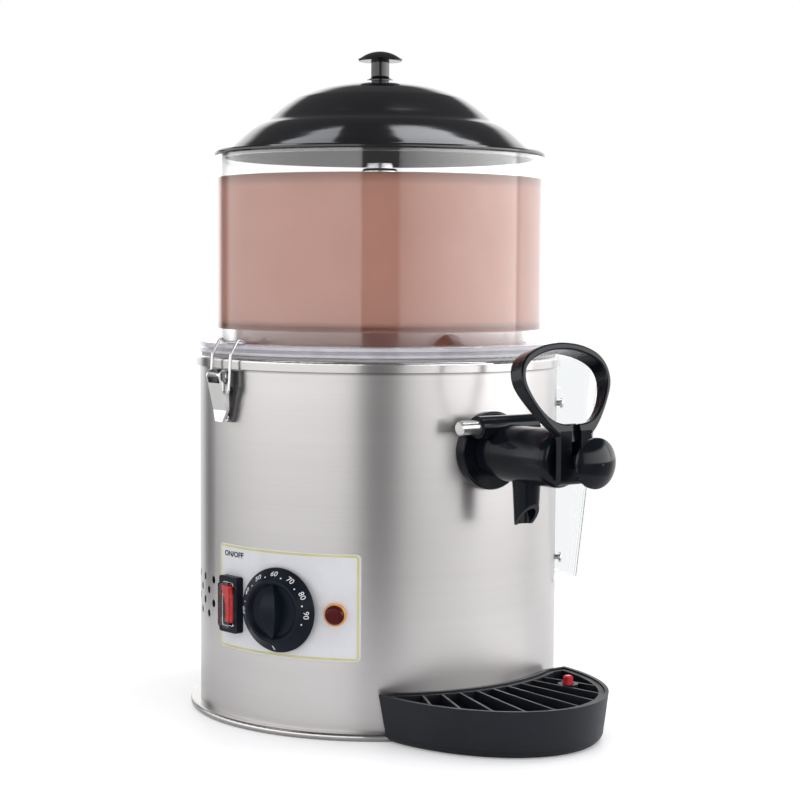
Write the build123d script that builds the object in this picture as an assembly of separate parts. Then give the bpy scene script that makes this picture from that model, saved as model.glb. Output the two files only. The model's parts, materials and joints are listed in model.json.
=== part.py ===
from build123d import *
import math
import os

# Hot chocolate dispenser: a clear bowl over a heated water bath in a round steel body, with a
# stirrer, a lever tap, a drip tray, two draw latches, a water gauge and a control panel.
# Millimetres, +Z up, the front towards -Y, the origin on the body's axis at the floor.
# Pieces on the body's side are modelled at the front and then turned about Z to their angle.

# Clearances
FIT = 0.1  # pieces of one body that are pushed together
RUN = 0.05  # radial play of a pin or shaft
GAP = 0.3  # pieces that move past each other

# Body
BODY_R = 126.5
SHEET = 1.0
RIM_R = BODY_R + 2.5
RIM_TOP = 248.0
BOWL_TOP = 387.0
RIM_DROP = 7.0
RIM_ROUND = 2.0
BASE_R = BODY_R + 7.0
BASE_H = 4.7
BASE_ROUND = 2.0
BASE_PLATE_R = BODY_R - 8.5
BASE_PLATE_T = 1.5
LEDGE_R = BASE_PLATE_R - 10.0
LEDGE_T = 2.0
BASE_SCREW_R = 2.0
BASE_SCREW_CIRCLE = BASE_PLATE_R - 5.5
BASE_SCREW_COUNT = 4
BASE_SLOT_LENGTH = 46.0
BASE_SLOT_WIDTH = 5.0
BASE_SLOT_PITCH = 12.0
BASE_SLOT_COUNT = 5
BASE_SLOT_Y = 70.0
VENT_R = 2.7
VENT_ANGLE = -98.8
VENT_COLUMNS = 8
VENT_ROWS = 2
VENT_STEP = 4.3
VENT_PITCH = 16.4
VENT_Z = 82.0

# Water bath
TANK_R = BODY_R - 12.5
TANK_FLOOR = RIM_TOP - 120.0
TANK_ROUND = 6.0
TUBE_R = 6.5
TUBE_WALL = 1.0
TUBE_TOP = BOWL_TOP - 21.0
BUSH_H = 10.0

# Bowl
BOWL_R = BODY_R - 11.2
BOWL_WALL = 3.5
STEP_Z = RIM_TOP + 22.0
NECK_R = TANK_R - 10.5
BOWL_FLOOR = TANK_FLOOR + 44.0
NECK_ROUND = 12.0
FLANGE_R = BODY_R
FLANGE_H = 7.5
FLANGE_GROOVE = 2.5
GASKET_T = 1.5
GASKET_IN = FLANGE_R - 9.0
COLUMN_R = 10.0
COLUMN_BORE = 8.0
COLUMN_TOP = BOWL_TOP - 13.0

# Lid
LID_R = BOWL_R + 1.7
LID_T = 2.4
BRIM_T = 3.0
LID_WAIST_R = BOWL_R - 38.3
LID_WAIST_Z = BOWL_TOP + 29.9
LID_EDGE_R = BOWL_R - 44.0
LID_EDGE_Z = BOWL_TOP + 33.4
LID_CROWN_R = BOWL_R - 57.3
LID_CROWN_Z = BOWL_TOP + 42.6
LID_SKIRT = ((BOWL_R - 10.3, BOWL_TOP + 3.6), (BOWL_R - 23.8, BOWL_TOP + 20.9), (LID_WAIST_R, LID_WAIST_Z))
LID_WAIST = ((LID_WAIST_R, LID_WAIST_Z), (LID_WAIST_R - 3.1, LID_WAIST_Z + 1.3), (LID_EDGE_R, LID_EDGE_Z))
LID_EDGE = ((LID_EDGE_R, LID_EDGE_Z), (LID_EDGE_R - 5.3, LID_EDGE_Z + 5.2), (LID_CROWN_R, LID_CROWN_Z))
LID_TOP = BOWL_TOP + 53.5
PLUG_T = 2.5
PLUG_DROP = 6.0
KNOB_STEM_R = 6.5
KNOB_CAP_R = 15.8
KNOB_CAP_Z = LID_TOP + 13.8
KNOB_TOP = LID_TOP + 21.0
KNOB_FOOT_R = 9.5
KNOB_FOOT_H = 2.5
KNOB_EDGE = 1.4
KNOB_SCREW_R = 2.5
KNOB_SCREW_HEAD = 5.0
KNOB_SCREW_DEPTH = 12.0

# Stirrer drive
SHAFT_R = 4.0
SHAFT_TOP = BOWL_TOP - 4.0
SLEEVE_R = 12.5
SLEEVE_LOW = BOWL_FLOOR + 7.0
SLEEVE_TOP = BOWL_TOP - 8.0
SLEEVE_PLAY = 0.6
BLADE_R = NECK_R - 11.5
BLADE_T = 4.0
BLADE_H = 22.0
BLADE_PITCH = 25.0
WING_R = NECK_R - 25.5
WING_W = 12.0
WING_TOP = STEP_Z - 8.0
CAP_NUT_R = 9.4
CAP_NUT_H = 5.5
GEARBOX_R = 32.0
GEARBOX_H = 26.0
MOTOR_R = 27.0
MOTOR_H = 52.0
BRACKET_R = 48.0
BRACKET_T = 2.0
BRACKET_Z = TANK_FLOOR - 12.0
SHAFT_LOW = BRACKET_Z - 32.0
POST_R = 4.0
POST_CIRCLE = 40.0
MOTOR_SCREW_R = 2.0
MOTOR_SCREW_CIRCLE = 24.0

# Tap
TAP_Z = BOWL_FLOOR + 17.0
SPIGOT_R = 13.5
SPIGOT_BORE = 9.5
NOSE_R = 10.8
NOSE_LENGTH = 5.5
STUB_R = 15.0
STUB_LENGTH = 3.0
WALL_FLANGE_R = 26.0
WALL_FLANGE_T = 5.0
SPIGOT_END = BODY_R + 23.5
SLEEVE_WALL = 1.5
COLLAR_R = 16.7
BARREL_R = 18.7
BARREL_START = BODY_R + 21.5
BARREL_END = BODY_R + 69.0
SEAT_T = 3.0
SEAT_R = 8.0
CHAMBER_R = 14.0
SPOUT_OUT = BODY_R + 38.5
SPOUT_R_TOP = 10.2
SPOUT_R_TIP = 7.8
SPOUT_WALL = 2.2
SPOUT_FLAT = 2.5
SPOUT_TIP_Z = TAP_Z - 45.3
SPOUT_FRONT_Z = TAP_Z - 32.3
PIN_R = 4.75
PIN_RISE = 17.2
PIN_OUT = BODY_R + 17.0
PIN_LEFT = 39.0
PIN_RIGHT = 27.0
PIN_CHAMFER = 0.8
BOSS_R = 7.3
BOSS_HALF = 23.5
CAP_PLUG = 4.5
CAP_FLANGE_R = BARREL_R
CAP_FLANGE_T = 7.1
CAP_ROUND = 6.5
CAP_END_T = 3.4
CAP_RECESS_R = 10.3
CAP_RECESS = 1.2
CAP_WALL = 1.7
ROD_R = 3.3
HEAD_R = 10.0
HEAD_T = 3.0
SEAL_T = 2.8
PISTON_OUT = BODY_R + 48.5
PISTON_T = 7.0
PISTON_GROOVE = 2.4
PISTON_GROOVE_DEPTH = 2.2
SPRING_R = 8.5
SPRING_WIRE = 0.7
SPRING_TURNS = 4
HUB_HALF = 12.7
HUB_DEPTH = 10.5
HUB_CORE_HALF = 8.5
HUB_PLATE_T = 4.5
HUB_LOW = TAP_Z - 15.0
HUB_HIGH = TAP_Z + 19.0
HEEL_R = 2.0
SLOT_HALF = 3.9
SLOT_TOP = TAP_Z + 37.0
LOOP_LEAN = 15.0
LOOP_BASE_Z = TAP_Z + 17.0
LOOP_DEPTH = 5.5
LOOP_FLARE = 9.6
LOOP_ROUND = 1.2
LOOP_OUTER = (
    (12.7, -0.7), (20.9, 6.9), (27.5, 15.6), (33.2, 25.0), (36.2, 32.5), (36.5, 38.0),
    (34.4, 45.3), (30.6, 50.2), (24.0, 54.3), (12.0, 57.9), (0.0, 59.0),
)
LOOP_INNER = (
    (0.0, 6.8), (8.0, 6.9), (15.5, 9.2), (20.5, 12.8), (25.5, 18.4), (30.2, 26.4), (32.7, 33.5),
    (32.9, 38.0), (31.2, 43.2), (27.2, 47.2), (19.0, 51.3), (9.5, 53.7), (0.0, 54.4),
)
BALL_R = 16.0
BALL_NOSE_R = 7.0
BALL_NECK = 17.0
BALL_DOME = 7.6
BALL_EDGE = 1.6
BALL_ROUND = 1.2
BALL_SOCKET = 15.0

# Drip tray
TRAY_H = 31.5
TRAY_HALF = 80.0
TRAY_X = 3.0
TRAY_FRONT = BODY_R + 85.0
TRAY_WIDEST = BODY_R - 22.5
TRAY_BACK = BODY_R - 17.5
TRAY_DRAFT = 4.0
TRAY_WALL = 2.5
TRAY_FLOOR = 3.5
TRAY_ROUND = 6.5
TRAY_PLAY = 0.8
GRILLE_H = 6.0
GRILLE_DROP = 1.0
GRILLE_FRAME = 4.0
SLAT_T = 1.6
SLAT_PITCH = 5.6
SLAT_FAN = 5.3
SLAT_LEAN = -5.5
SLAT_COUNT = 9
FLOAT_X = 50.6
FLOAT_OUT = TRAY_FRONT - 61.6
FLOAT_SIDE = 5.4
FLOAT_TOP = TRAY_H + 4.5
FLOAT_BASE_R = 9.5
FLOAT_BASE_H = 9.0
FLOAT_RING = 2.7

# Draw latches
LATCH_ANGLE = 88.5
PIVOT_OUT = BODY_R + 7.5
PIVOT_Z = RIM_TOP - 11.5
PIVOT_R = 1.6
BAIL_DROP = 11.5
PLATE_HALF = 15.0
PLATE_HALF_LOW = 6.5
PLATE_KNEE = PIVOT_Z - 7.0
PLATE_T = 2.0
PLATE_LOW = PIVOT_Z - 31.5
PLATE_HIGH = PIVOT_Z + 3.5
EAR_T = 1.1
EAR_OUT = PIVOT_OUT + 3.5
EAR_LOW = PIVOT_Z - 6.5
EAR_ROUND = 3.0
LEVER_HALF = 8.0
LEVER_HALF_LOW = 4.3
LEVER_KNEE = PIVOT_Z - 23.5
LEVER_FACE_TOP = PIVOT_Z - 5.0
LEVER_T = 1.0
LEVER_TOP = PIVOT_Z + 4.0
LEVER_LOW = PIVOT_Z - 31.0
LEVER_OUT_TOP = PIVOT_OUT + 6.5
LEVER_OUT_KNEE = PIVOT_OUT - 0.3
LEVER_OUT_LOW = PIVOT_OUT + 0.7
LEVER_BACK = PIVOT_OUT - 2.7
LEVER_ROUND = 4.4
WIRE_R = 0.95
WIRE_BEND = 2.0
LEG_X = 11.3
BAR_OUT = FLANGE_R - 6.0
HOOK_OUT = FLANGE_R - 0.4
HOOK_RISE = 4.0
LEG_OUT = PIVOT_OUT - 1.7
LEG_Z = PIVOT_Z + 14.0
STUB_X = 4.8
RIVET_R = 1.6
RIVET_HEAD_R = 3.0
RIVET_HEAD_H = 1.2
RIVET_HEIGHTS = (PLATE_LOW + 3.0, PLATE_LOW + 17.0)

# Water gauge
GAUGE_ANGLE = 60.0
GAUGE_TOP = RIM_TOP - 2.0
GAUGE_LOW = GAUGE_TOP - 161.0
GAUGE_OUT_LOW = BODY_R + 15.5
GAUGE_OUT_TOP = BODY_R + 33.0
GAUGE_BACK = BODY_R - 14.5
GAUGE_HALF = 17.0
GAUGE_WALL = 2.5
GAUGE_CORNER = 6.0
TAB_HALF = 27.0
TAB_T = 2.5
TAB_LOW = GAUGE_LOW + 10.0
TAB_TOP = GAUGE_TOP - 21.0
GAUGE_SCREW_X = 22.0
GAUGE_SCREW_HEIGHTS = (TAB_LOW + 9.0, TAB_TOP - 11.0)
GAUGE_SCREW_R = 1.9
GAUGE_SCREW_HEAD = 3.6
GAUGE_SCREW_HEAD_H = 2.2
PIPE_Z = TANK_FLOOR + 14.0
PIPE_R = 6.0
PIPE_WALL = 1.2

# Control panel
PANEL_ANGLE = -66.6
PANEL_HALF = 55.9
PANEL_LOW = 51.7
PANEL_HIGH = 122.3
PANEL_T = 1.2
PANEL_CORNER = 3.0
SWITCH_ANGLE = -85.0
SWITCH_Z = 82.4
BEZEL_W = 20.0
BEZEL_H = 38.0
BEZEL_OUT = BODY_R + 6.3
WINDOW_W = 10.5
WINDOW_H = 28.5
SWITCH_BACK = BODY_R - 26.5
SWITCH_FRONT = BODY_R - 0.1
ROCKER_OUT = BODY_R + 3.3
ROCKER_PIN_R = 1.2
ROCKER_REACH = 13.0
ROCKER_TIP = BODY_R + 6.3
ROCKER_DIP = BODY_R + 4.9
ROCKER_REAR = BODY_R + 1.7
ROCKER_TILT = 8.0
COVER_W = 12.5
COVER_H = 30.5
COVER_OUT = BODY_R + 10.2
COVER_WALL = 1.0
COVER_ROUND = 2.5
KNOB_ANGLE = -66.0
KNOB_Z = 83.2
SKIRT_R = 28.2
SKIRT_BACK = BODY_R + 2.3
SKIRT_EDGE = 1.6
DIAL_R = 20.6
DIAL_FRONT = SKIRT_BACK + 8.8
DIAL_LIP = 1.8
DISH_R = 16.5
DISH_DEPTH = 2.6
GRIP_HALF = 18.4
GRIP_BULGE = 6.0
GRIP_TIP = DIAL_FRONT - 1.0
GRIP_FRONT = DIAL_FRONT + 5.4
SPINDLE_R = 3.0
SPINDLE_DEPTH = 12.0
SPINDLE_TIP = DIAL_FRONT + 0.4
THERMO_NUT_R = 7.5
THERMO_NUT_H = 3.0
NUT_ROOM = 4.0
THERMO_BUSH_R = 4.8
THERMO_BACK = BODY_R - 42.5
THERMO_FRONT = BODY_R - 6.5
THERMO_SIDE = 34.0
LAMP_ANGLE = -48.0
LAMP_Z = 82.6
LAMP_BEZEL_R = 7.6
LAMP_LENS_R = 6.4
LAMP_BODY_R = 5.0
LAMP_BACK = BODY_R - 22.5
LAMP_OUT = BODY_R + 4.1
LAMP_DOME = 2.6

# Heater, probe and wiring
ELEMENT_R = TANK_R - 36.0
ELEMENT_TUBE = 4.0
ELEMENT_Z = TANK_FLOOR + 13.0
ELEMENT_ARC = 330.0
ELEMENT_LOW = TANK_FLOOR - 20.0
ELEMENT_NUT_R = 9.0
ELEMENT_NUT_H = 5.0
PROBE_ANGLE = 150.0
PROBE_CIRCLE = TANK_R - 17.0
PROBE_R = 3.0
PROBE_TOP = TANK_FLOOR + 30.0
PROBE_LOW = TANK_FLOOR - 22.0
PROBE_NUT_R = 8.0
PROBE_NUT_H = 6.0
BULB_ANGLE = -120.0
BULB_CIRCLE = TANK_R - 42.0
BULB_R = 3.2
BULB_LENGTH = 60.0
TERMINAL_W = 46.0
TERMINAL_D = 18.0
TERMINAL_H = 20.0
TERMINAL_Y = BODY_R - 38.5
GLAND_Z = 32.0
GLAND_R = 8.0
GLAND_DEPTH = 12.0
GLAND_NUT_R = 11.0
GLAND_BORE = 4.0
GLAND_OUT = BODY_R + 19.5

# Heights and places that follow
BODY_TOP = RIM_TOP - SHEET
LEDGE_TOP = BASE_PLATE_T + LEDGE_T
FLANGE_LOW = RIM_TOP + GASKET_T
FLANGE_TOP = FLANGE_LOW + FLANGE_H
PANEL_R = BODY_R + FIT + PANEL_T
SOCKET_R = SPIGOT_R + FIT
SEAT_START = SPIGOT_END + GAP
SEAT_END = SEAT_START + SEAT_T
CAP_END = BARREL_END + CAP_FLANGE_T
HUB_BACK = CAP_END + GAP
HUB_FRONT = HUB_BACK + HUB_DEPTH
HEAD_START = SEAT_END + SEAL_T + 2 * FIT
BALL_START = HUB_FRONT + GAP
ROD_END = BALL_START + BALL_SOCKET
STUB_END = NECK_R + STUB_LENGTH
RIM_FLOOR_Z = BOWL_FLOOR + BOWL_WALL
GRILLE_TOP = TRAY_H - GRILLE_DROP
GRILLE_LOW = GRILLE_TOP - GRILLE_H
TRAY_RADIUS = BODY_R + TRAY_PLAY
PLATE_OUT = BODY_R + PLATE_T
BAIL_Z = PIVOT_Z - BAIL_DROP
CROSSBAR_Z = FLANGE_TOP + WIRE_R + FIT

UP = (Align.CENTER, Align.CENTER, Align.MIN)
SIDE = Plane(origin=(0, 0, 0), x_dir=(0, -1, 0), z_dir=(-1, 0, 0))


# Building blocks


def outline(corners):
    """Closed face through the corners; a third number rounds that corner to that radius."""
    edges = []
    ends = []
    for i, corner in enumerate(corners):
        here = Vector(*corner[:2])
        if len(corner) == 2:
            ends.append((here, here))
            continue
        radius = corner[2]
        back = (Vector(*corners[i - 1][:2]) - here).normalized()
        ahead = (Vector(*corners[(i + 1) % len(corners)][:2]) - here).normalized()
        half = math.radians(back.get_angle(ahead)) / 2
        reach = radius / math.tan(half)
        middle = here + (back + ahead).normalized() * (radius / math.sin(half) - radius)
        ends.append((here + back * reach, here + ahead * reach))
        edges.append(ThreePointArc(ends[-1][0], middle, ends[-1][1]))
    for i in range(len(ends)):
        start = ends[i - 1][1]
        end = ends[i][0]
        if (end - start).length > 1e-6:
            edges.append(Line(start, end))
    return make_face(edges)


def turned(corners):
    """Solid of revolution about Z from corners of (radius, height)."""
    return revolve(Plane.XZ * outline(corners), Axis.Z)


def turned_out(corners, z):
    """Solid of revolution about the front axis at height z, from corners of (radius, distance out)."""
    return Pos(0, 0, z) * Rot(90, 0, 0) * turned(corners)


def ring(outer, inner, low, high):
    """Upright tube between two heights."""
    height = high - low
    return Pos(0, 0, low) * (Cylinder(outer, height, align=UP) - Cylinder(inner, height, align=UP))


def post(radius, low, high, x=0.0, y=0.0):
    """Upright cylinder between two heights."""
    return Pos(x, y, low) * Cylinder(radius, high - low, align=UP)


def along_y(radius, start, end, z, x=0.0):
    """Cylinder along the front axis, from start to end outwards."""
    return Pos(x, -(start + end) / 2, z) * Rot(90, 0, 0) * Cylinder(radius, end - start)


def along_x(radius, start, end, out, z):
    """Cylinder across the front axis."""
    return Pos((start + end) / 2, -out, z) * Rot(0, 90, 0) * Cylinder(radius, end - start)


def block(half, start, end, low, high):
    """Box of a half width across, between two distances out and two heights."""
    return Pos(0, -(start + end) / 2, (low + high) / 2) * Box(2 * half, end - start, high - low)


def side_slab(corners, half):
    """Plate across the front axis whose side view has corners of (distance out, height)."""
    return extrude(SIDE * outline(corners), half, both=True)


def front_slab(face, start, end):
    """Plate seen from the front as the face, between two distances out."""
    return extrude(Plane.XZ.offset(start) * face, end - start)


def around(angle, shape):
    """A piece modelled at the front, turned about Z to its angle."""
    return Rot(0, 0, angle) * shape


def inside(radius):
    """Upright cylinder through the whole height, used to seat a piece on the round body."""
    return post(radius, -1, BOWL_TOP)


def hexagon(width_r, start, end, z):
    """Six-sided nut about the front axis, by its corner radius."""
    return front_slab(Pos(0, z) * RegularPolygon(width_r, 6), start, end)


def hexagon_up(width_r, low, high, x, y):
    """Six-sided nut standing upright, by its corner radius."""
    return Pos(x, y, low) * extrude(RegularPolygon(width_r, 6), high - low)


def polar(angle, radius):
    """Point in plan at an angle from the front."""
    turn = math.radians(angle)
    return radius * math.sin(turn), -radius * math.cos(turn)


# Base and body


def base_screw_places():
    step = 360 / BASE_SCREW_COUNT
    return [polar(step / 2 + step * i, BASE_SCREW_CIRCLE) for i in range(BASE_SCREW_COUNT)]


def base_ring():
    """Rolled steel foot ring with a ledge under the base plate."""
    solid = turned([
        (BASE_PLATE_R + FIT, 0),
        (BASE_R, 0, BASE_ROUND),
        (BASE_R, BASE_H, BASE_ROUND),
        (BODY_R + FIT, BASE_H),
        (BODY_R + FIT, LEDGE_TOP),
        (LEDGE_R, LEDGE_TOP),
        (LEDGE_R, BASE_PLATE_T),
        (BASE_PLATE_R + FIT, BASE_PLATE_T),
    ])
    for x, y in base_screw_places():
        solid -= post(BASE_SCREW_R, 0, BASE_H, x, y)
    return solid


def base_plate():
    """Bottom cover with air slots, screwed up against the foot ring's ledge."""
    top = BASE_PLATE_T
    solid = post(BASE_PLATE_R, 0, top)
    for x, y in base_screw_places():
        solid -= Pos(x, y, 0) * Cone(2 * BASE_SCREW_R + FIT, BASE_SCREW_R + FIT, top, align=UP)
    slot = extrude(SlotOverall(BASE_SLOT_LENGTH, BASE_SLOT_WIDTH), 2 * top)
    for i in range(BASE_SLOT_COUNT):
        offset = (i - (BASE_SLOT_COUNT - 1) / 2) * BASE_SLOT_PITCH
        solid -= Pos(0, -BASE_SLOT_Y + offset, 0) * slot
    return solid


def base_screws():
    """Countersunk screws that hold the base plate."""
    top = LEDGE_TOP + BASE_SCREW_R
    screws = []
    for x, y in base_screw_places():
        head = Pos(x, y, 0) * Cone(2 * BASE_SCREW_R, BASE_SCREW_R, BASE_PLATE_T, align=UP)
        screws.append(head + post(BASE_SCREW_R, BASE_PLATE_T, top, x, y))
    return Compound(screws)


def vent_cutters():
    """Staggered round air holes at the left rear of the body."""
    cutters = []
    for column in range(VENT_COLUMNS):
        angle = VENT_ANGLE - column * VENT_STEP
        shift = VENT_PITCH / 4 * (1 - 2 * (column % 2))
        for row in range(VENT_ROWS):
            z = VENT_Z + shift + (row - (VENT_ROWS - 1) / 2) * VENT_PITCH
            cutters.append(around(angle, along_y(VENT_R, TANK_R, BASE_R, z)))
    return cutters


def body_shell():
    """Brushed steel drum with its holes for the tap, controls, gauge, latches and lead."""
    solid = ring(BODY_R, BODY_R - SHEET, LEDGE_TOP, BODY_TOP)
    holes = vent_cutters()
    holes.append(along_y(SPIGOT_R + GAP, TANK_R, BASE_R, TAP_Z))
    holes.append(around(SWITCH_ANGLE, switch_block(GAP, TANK_R, BASE_R)))
    holes.append(around(KNOB_ANGLE, along_y(THERMO_BUSH_R + FIT, TANK_R, BASE_R, KNOB_Z)))
    holes.append(around(LAMP_ANGLE, along_y(LAMP_BODY_R + FIT, TANK_R, BASE_R, LAMP_Z)))
    holes.append(around(GAUGE_ANGLE, along_y(PIPE_R + FIT, TANK_R, BASE_R, PIPE_Z)))
    holes.append(around(180, along_y(GLAND_R + FIT, TANK_R, BASE_R, GLAND_Z)))
    for angle in gauge_screw_angles():
        for z in GAUGE_SCREW_HEIGHTS:
            holes.append(around(angle, along_y(GAUGE_SCREW_R + FIT, TANK_R, BASE_R, z)))
    for angle in (-LATCH_ANGLE, LATCH_ANGLE):
        for z in RIVET_HEIGHTS:
            holes.append(around(angle, along_y(RIVET_R + FIT, TANK_R, BASE_R, z)))
    return solid - holes


# Water bath and heater


def element_places():
    """Plan places where the heating tube's two ends go through the tank's floor."""
    return [polar(0, ELEMENT_R), polar(ELEMENT_ARC, ELEMENT_R)]


def water_tank():
    """Deep-drawn bath whose rim folds over the body's top edge, with a tube for the shaft."""
    floor = TANK_FLOOR + SHEET
    bore = TUBE_R - TUBE_WALL
    solid = turned([
        (bore, TANK_FLOOR),
        (TANK_R, TANK_FLOOR, TANK_ROUND),
        (TANK_R, BODY_TOP),
        (RIM_R - SHEET, BODY_TOP, RIM_ROUND - SHEET),
        (RIM_R - SHEET, RIM_TOP - RIM_DROP),
        (RIM_R, RIM_TOP - RIM_DROP),
        (RIM_R, RIM_TOP, RIM_ROUND),
        (TANK_R - SHEET, RIM_TOP),
        (TANK_R - SHEET, floor, TANK_ROUND - SHEET),
        (TUBE_R, floor),
        (TUBE_R, TUBE_TOP),
        (bore, TUBE_TOP),
    ])
    holes = [along_y(SPIGOT_R + GAP, NECK_R, BODY_R, TAP_Z)]
    holes.append(around(GAUGE_ANGLE, along_y(PIPE_R - PIPE_WALL, NECK_R, BODY_R, PIPE_Z)))
    for x, y in element_places():
        holes.append(post(ELEMENT_TUBE + FIT, ELEMENT_LOW, ELEMENT_Z, x, y))
    holes.append(post(PROBE_R + FIT, PROBE_LOW, PROBE_TOP, *polar(PROBE_ANGLE, PROBE_CIRCLE)))
    return solid - holes


def shaft_bush():
    """Plain bearing pressed into the top of the tank's tube."""
    return ring(TUBE_R - TUBE_WALL - FIT, SHAFT_R + RUN, TUBE_TOP - BUSH_H, TUBE_TOP)


def heating_element():
    """Tubular heater: most of a ring in the water, with both ends down through the floor."""
    start = Vector(*polar(0, ELEMENT_R), ELEMENT_LOW)
    solid = around(-90, Torus(ELEMENT_R, ELEMENT_TUBE, major_angle=ELEMENT_ARC))
    solid = Pos(0, 0, ELEMENT_Z) * solid
    for x, y in element_places():
        solid += post(ELEMENT_TUBE, start.Z, ELEMENT_Z, x, y)
        solid += Pos(x, y, ELEMENT_Z) * Sphere(ELEMENT_TUBE)
    return solid


def element_nuts():
    """Nuts that seal the heater's ends under the tank."""
    high = TANK_FLOOR
    low = high - ELEMENT_NUT_H
    nuts = []
    for x, y in element_places():
        bore = post(ELEMENT_TUBE + FIT, low, high, x, y)
        nuts.append(hexagon_up(ELEMENT_NUT_R, low, high, x, y) - bore)
    return Compound(nuts)


def water_probe():
    """Low-water probe standing in the bath, with its hexagon under the floor."""
    x, y = polar(PROBE_ANGLE, PROBE_CIRCLE)
    solid = post(PROBE_R, PROBE_LOW, PROBE_TOP, x, y)
    return solid + hexagon_up(PROBE_NUT_R, TANK_FLOOR - PROBE_NUT_H, TANK_FLOOR, x, y)


def bulb_axis_z():
    return TANK_FLOOR - BULB_R - FIT


def thermostat_bulb():
    """Feeler of the thermostat, lying against the underside of the tank."""
    rod = along_x(BULB_R, -BULB_LENGTH / 2, BULB_LENGTH / 2, BULB_CIRCLE, bulb_axis_z())
    return around(BULB_ANGLE, rod)


# Bowl and lid


def bowl():
    """Clear bowl: wide top, neck down into the bath, clamping flange, column and outlet stub."""
    inner = BOWL_R - BOWL_WALL
    neck_in = NECK_R - BOWL_WALL
    groove_low = FLANGE_LOW + (FLANGE_H - FLANGE_GROOVE) / 2
    solid = turned([
        (COLUMN_BORE, BOWL_FLOOR),
        (NECK_R, BOWL_FLOOR, NECK_ROUND),
        (NECK_R, STEP_Z - BOWL_WALL),
        (inner, STEP_Z - BOWL_WALL),
        (inner, FLANGE_LOW),
        (FLANGE_R, FLANGE_LOW, 1),
        (FLANGE_R, groove_low),
        (FLANGE_R - FLANGE_GROOVE, groove_low),
        (FLANGE_R - FLANGE_GROOVE, groove_low + FLANGE_GROOVE),
        (FLANGE_R, groove_low + FLANGE_GROOVE),
        (FLANGE_R, FLANGE_TOP),
        (BOWL_R, FLANGE_TOP),
        (BOWL_R, BOWL_TOP),
        (inner, BOWL_TOP),
        (inner, STEP_Z, BOWL_WALL),
        (neck_in, STEP_Z, BOWL_WALL),
        (neck_in, RIM_FLOOR_Z, NECK_ROUND - BOWL_WALL),
        (COLUMN_R, RIM_FLOOR_Z, BOWL_WALL),
        (COLUMN_R, COLUMN_TOP),
        (COLUMN_BORE, COLUMN_TOP),
    ])
    solid += along_y(STUB_R, NECK_R - BOWL_WALL, STUB_END, TAP_Z) - inside(NECK_R - BOWL_WALL / 2)
    return solid - along_y(NOSE_R + RUN, NECK_R - 3 * BOWL_WALL, TANK_R, TAP_Z)


def bowl_gasket():
    """Flat rubber ring between the bath's rim and the bowl's flange."""
    return ring(FLANGE_R - 1, GASKET_IN, RIM_TOP, FLANGE_LOW)


def lid_shell_face(drop, trim):
    """Half section under the lid's outer curve, lowered by drop and drawn in by trim."""
    arcs = []
    for points in (LID_SKIRT, LID_WAIST, LID_EDGE):
        arcs.append(ThreePointArc(*[(r - trim, z - drop) for r, z in points]))
    foot = arcs[0] @ 0
    shoulder = arcs[-1] @ 1
    top = LID_TOP - drop
    rise = top - shoulder.Y
    crown_r = (shoulder.X ** 2 + rise ** 2) / (2 * rise)
    middle = shoulder.X / 2
    crown_mid = (middle, top - crown_r + math.sqrt(crown_r ** 2 - middle ** 2))
    arcs.append(ThreePointArc(shoulder, crown_mid, (0, top)))
    arcs.append(Line((0, top), (0, foot.Y)))
    arcs.append(Line((0, foot.Y), foot))
    return make_face(arcs)


def lid():
    """Two-tier domed lid with a flat brim and a plug ring that centres it in the bowl."""
    plug_r = BOWL_R - BOWL_WALL - GAP
    dome = revolve(Plane.XZ * lid_shell_face(0, 0), Axis.Z)
    dome -= revolve(Plane.XZ * lid_shell_face(LID_T, LID_T), Axis.Z)
    under = LID_SKIRT[0][0] - LID_T
    brim = turned([
        (under, BOWL_TOP + GAP),
        (plug_r - PLUG_T, BOWL_TOP + GAP),
        (plug_r - PLUG_T, BOWL_TOP - PLUG_DROP),
        (plug_r, BOWL_TOP - PLUG_DROP),
        (plug_r, BOWL_TOP + GAP),
        (LID_R, BOWL_TOP + GAP, 0.8),
        (LID_R, BOWL_TOP + BRIM_T, 1.2),
        (under, BOWL_TOP + BRIM_T),
    ])
    return dome + brim - post(KNOB_SCREW_R + FIT, BOWL_TOP, KNOB_TOP)


def lid_knob():
    """Mushroom knob with a flared stem, screwed on from inside the lid."""
    stem = turned([
        (0, LID_TOP - 1),
        (KNOB_FOOT_R, LID_TOP - 1),
        (KNOB_FOOT_R, LID_TOP + 0.8),
        (KNOB_STEM_R, LID_TOP + KNOB_FOOT_H, 2),
        (KNOB_STEM_R, KNOB_CAP_Z + KNOB_EDGE),
        (0, KNOB_CAP_Z + KNOB_EDGE),
    ])
    edge = KNOB_CAP_Z + KNOB_EDGE
    rise = KNOB_TOP - edge
    dome_r = (KNOB_CAP_R ** 2 + rise ** 2) / (2 * rise)
    middle = KNOB_CAP_R / 2
    crown = (middle, KNOB_TOP - dome_r + math.sqrt(dome_r ** 2 - middle ** 2))
    cap = revolve(Plane.XZ * make_face([
        Line((0, KNOB_CAP_Z), (KNOB_CAP_R - 0.6, KNOB_CAP_Z)),
        Line((KNOB_CAP_R - 0.6, KNOB_CAP_Z), (KNOB_CAP_R, edge)),
        ThreePointArc((KNOB_CAP_R, edge), crown, (0, KNOB_TOP)),
        Line((0, KNOB_TOP), (0, KNOB_CAP_Z)),
    ]), Axis.Z)
    solid = stem + cap - post(KNOB_SCREW_R, BOWL_TOP, LID_TOP + KNOB_SCREW_DEPTH)
    return solid - revolve(Plane.XZ * lid_shell_face(0, 0), Axis.Z)


def lid_knob_screw():
    """Pan-head screw up into the knob from under the dome."""
    seat = LID_TOP - LID_T
    shank = post(KNOB_SCREW_R, seat - FIT, LID_TOP + KNOB_SCREW_DEPTH)
    return shank + post(KNOB_SCREW_HEAD, seat - KNOB_SCREW_R - FIT, seat - FIT)


# Stirrer and drive


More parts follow.
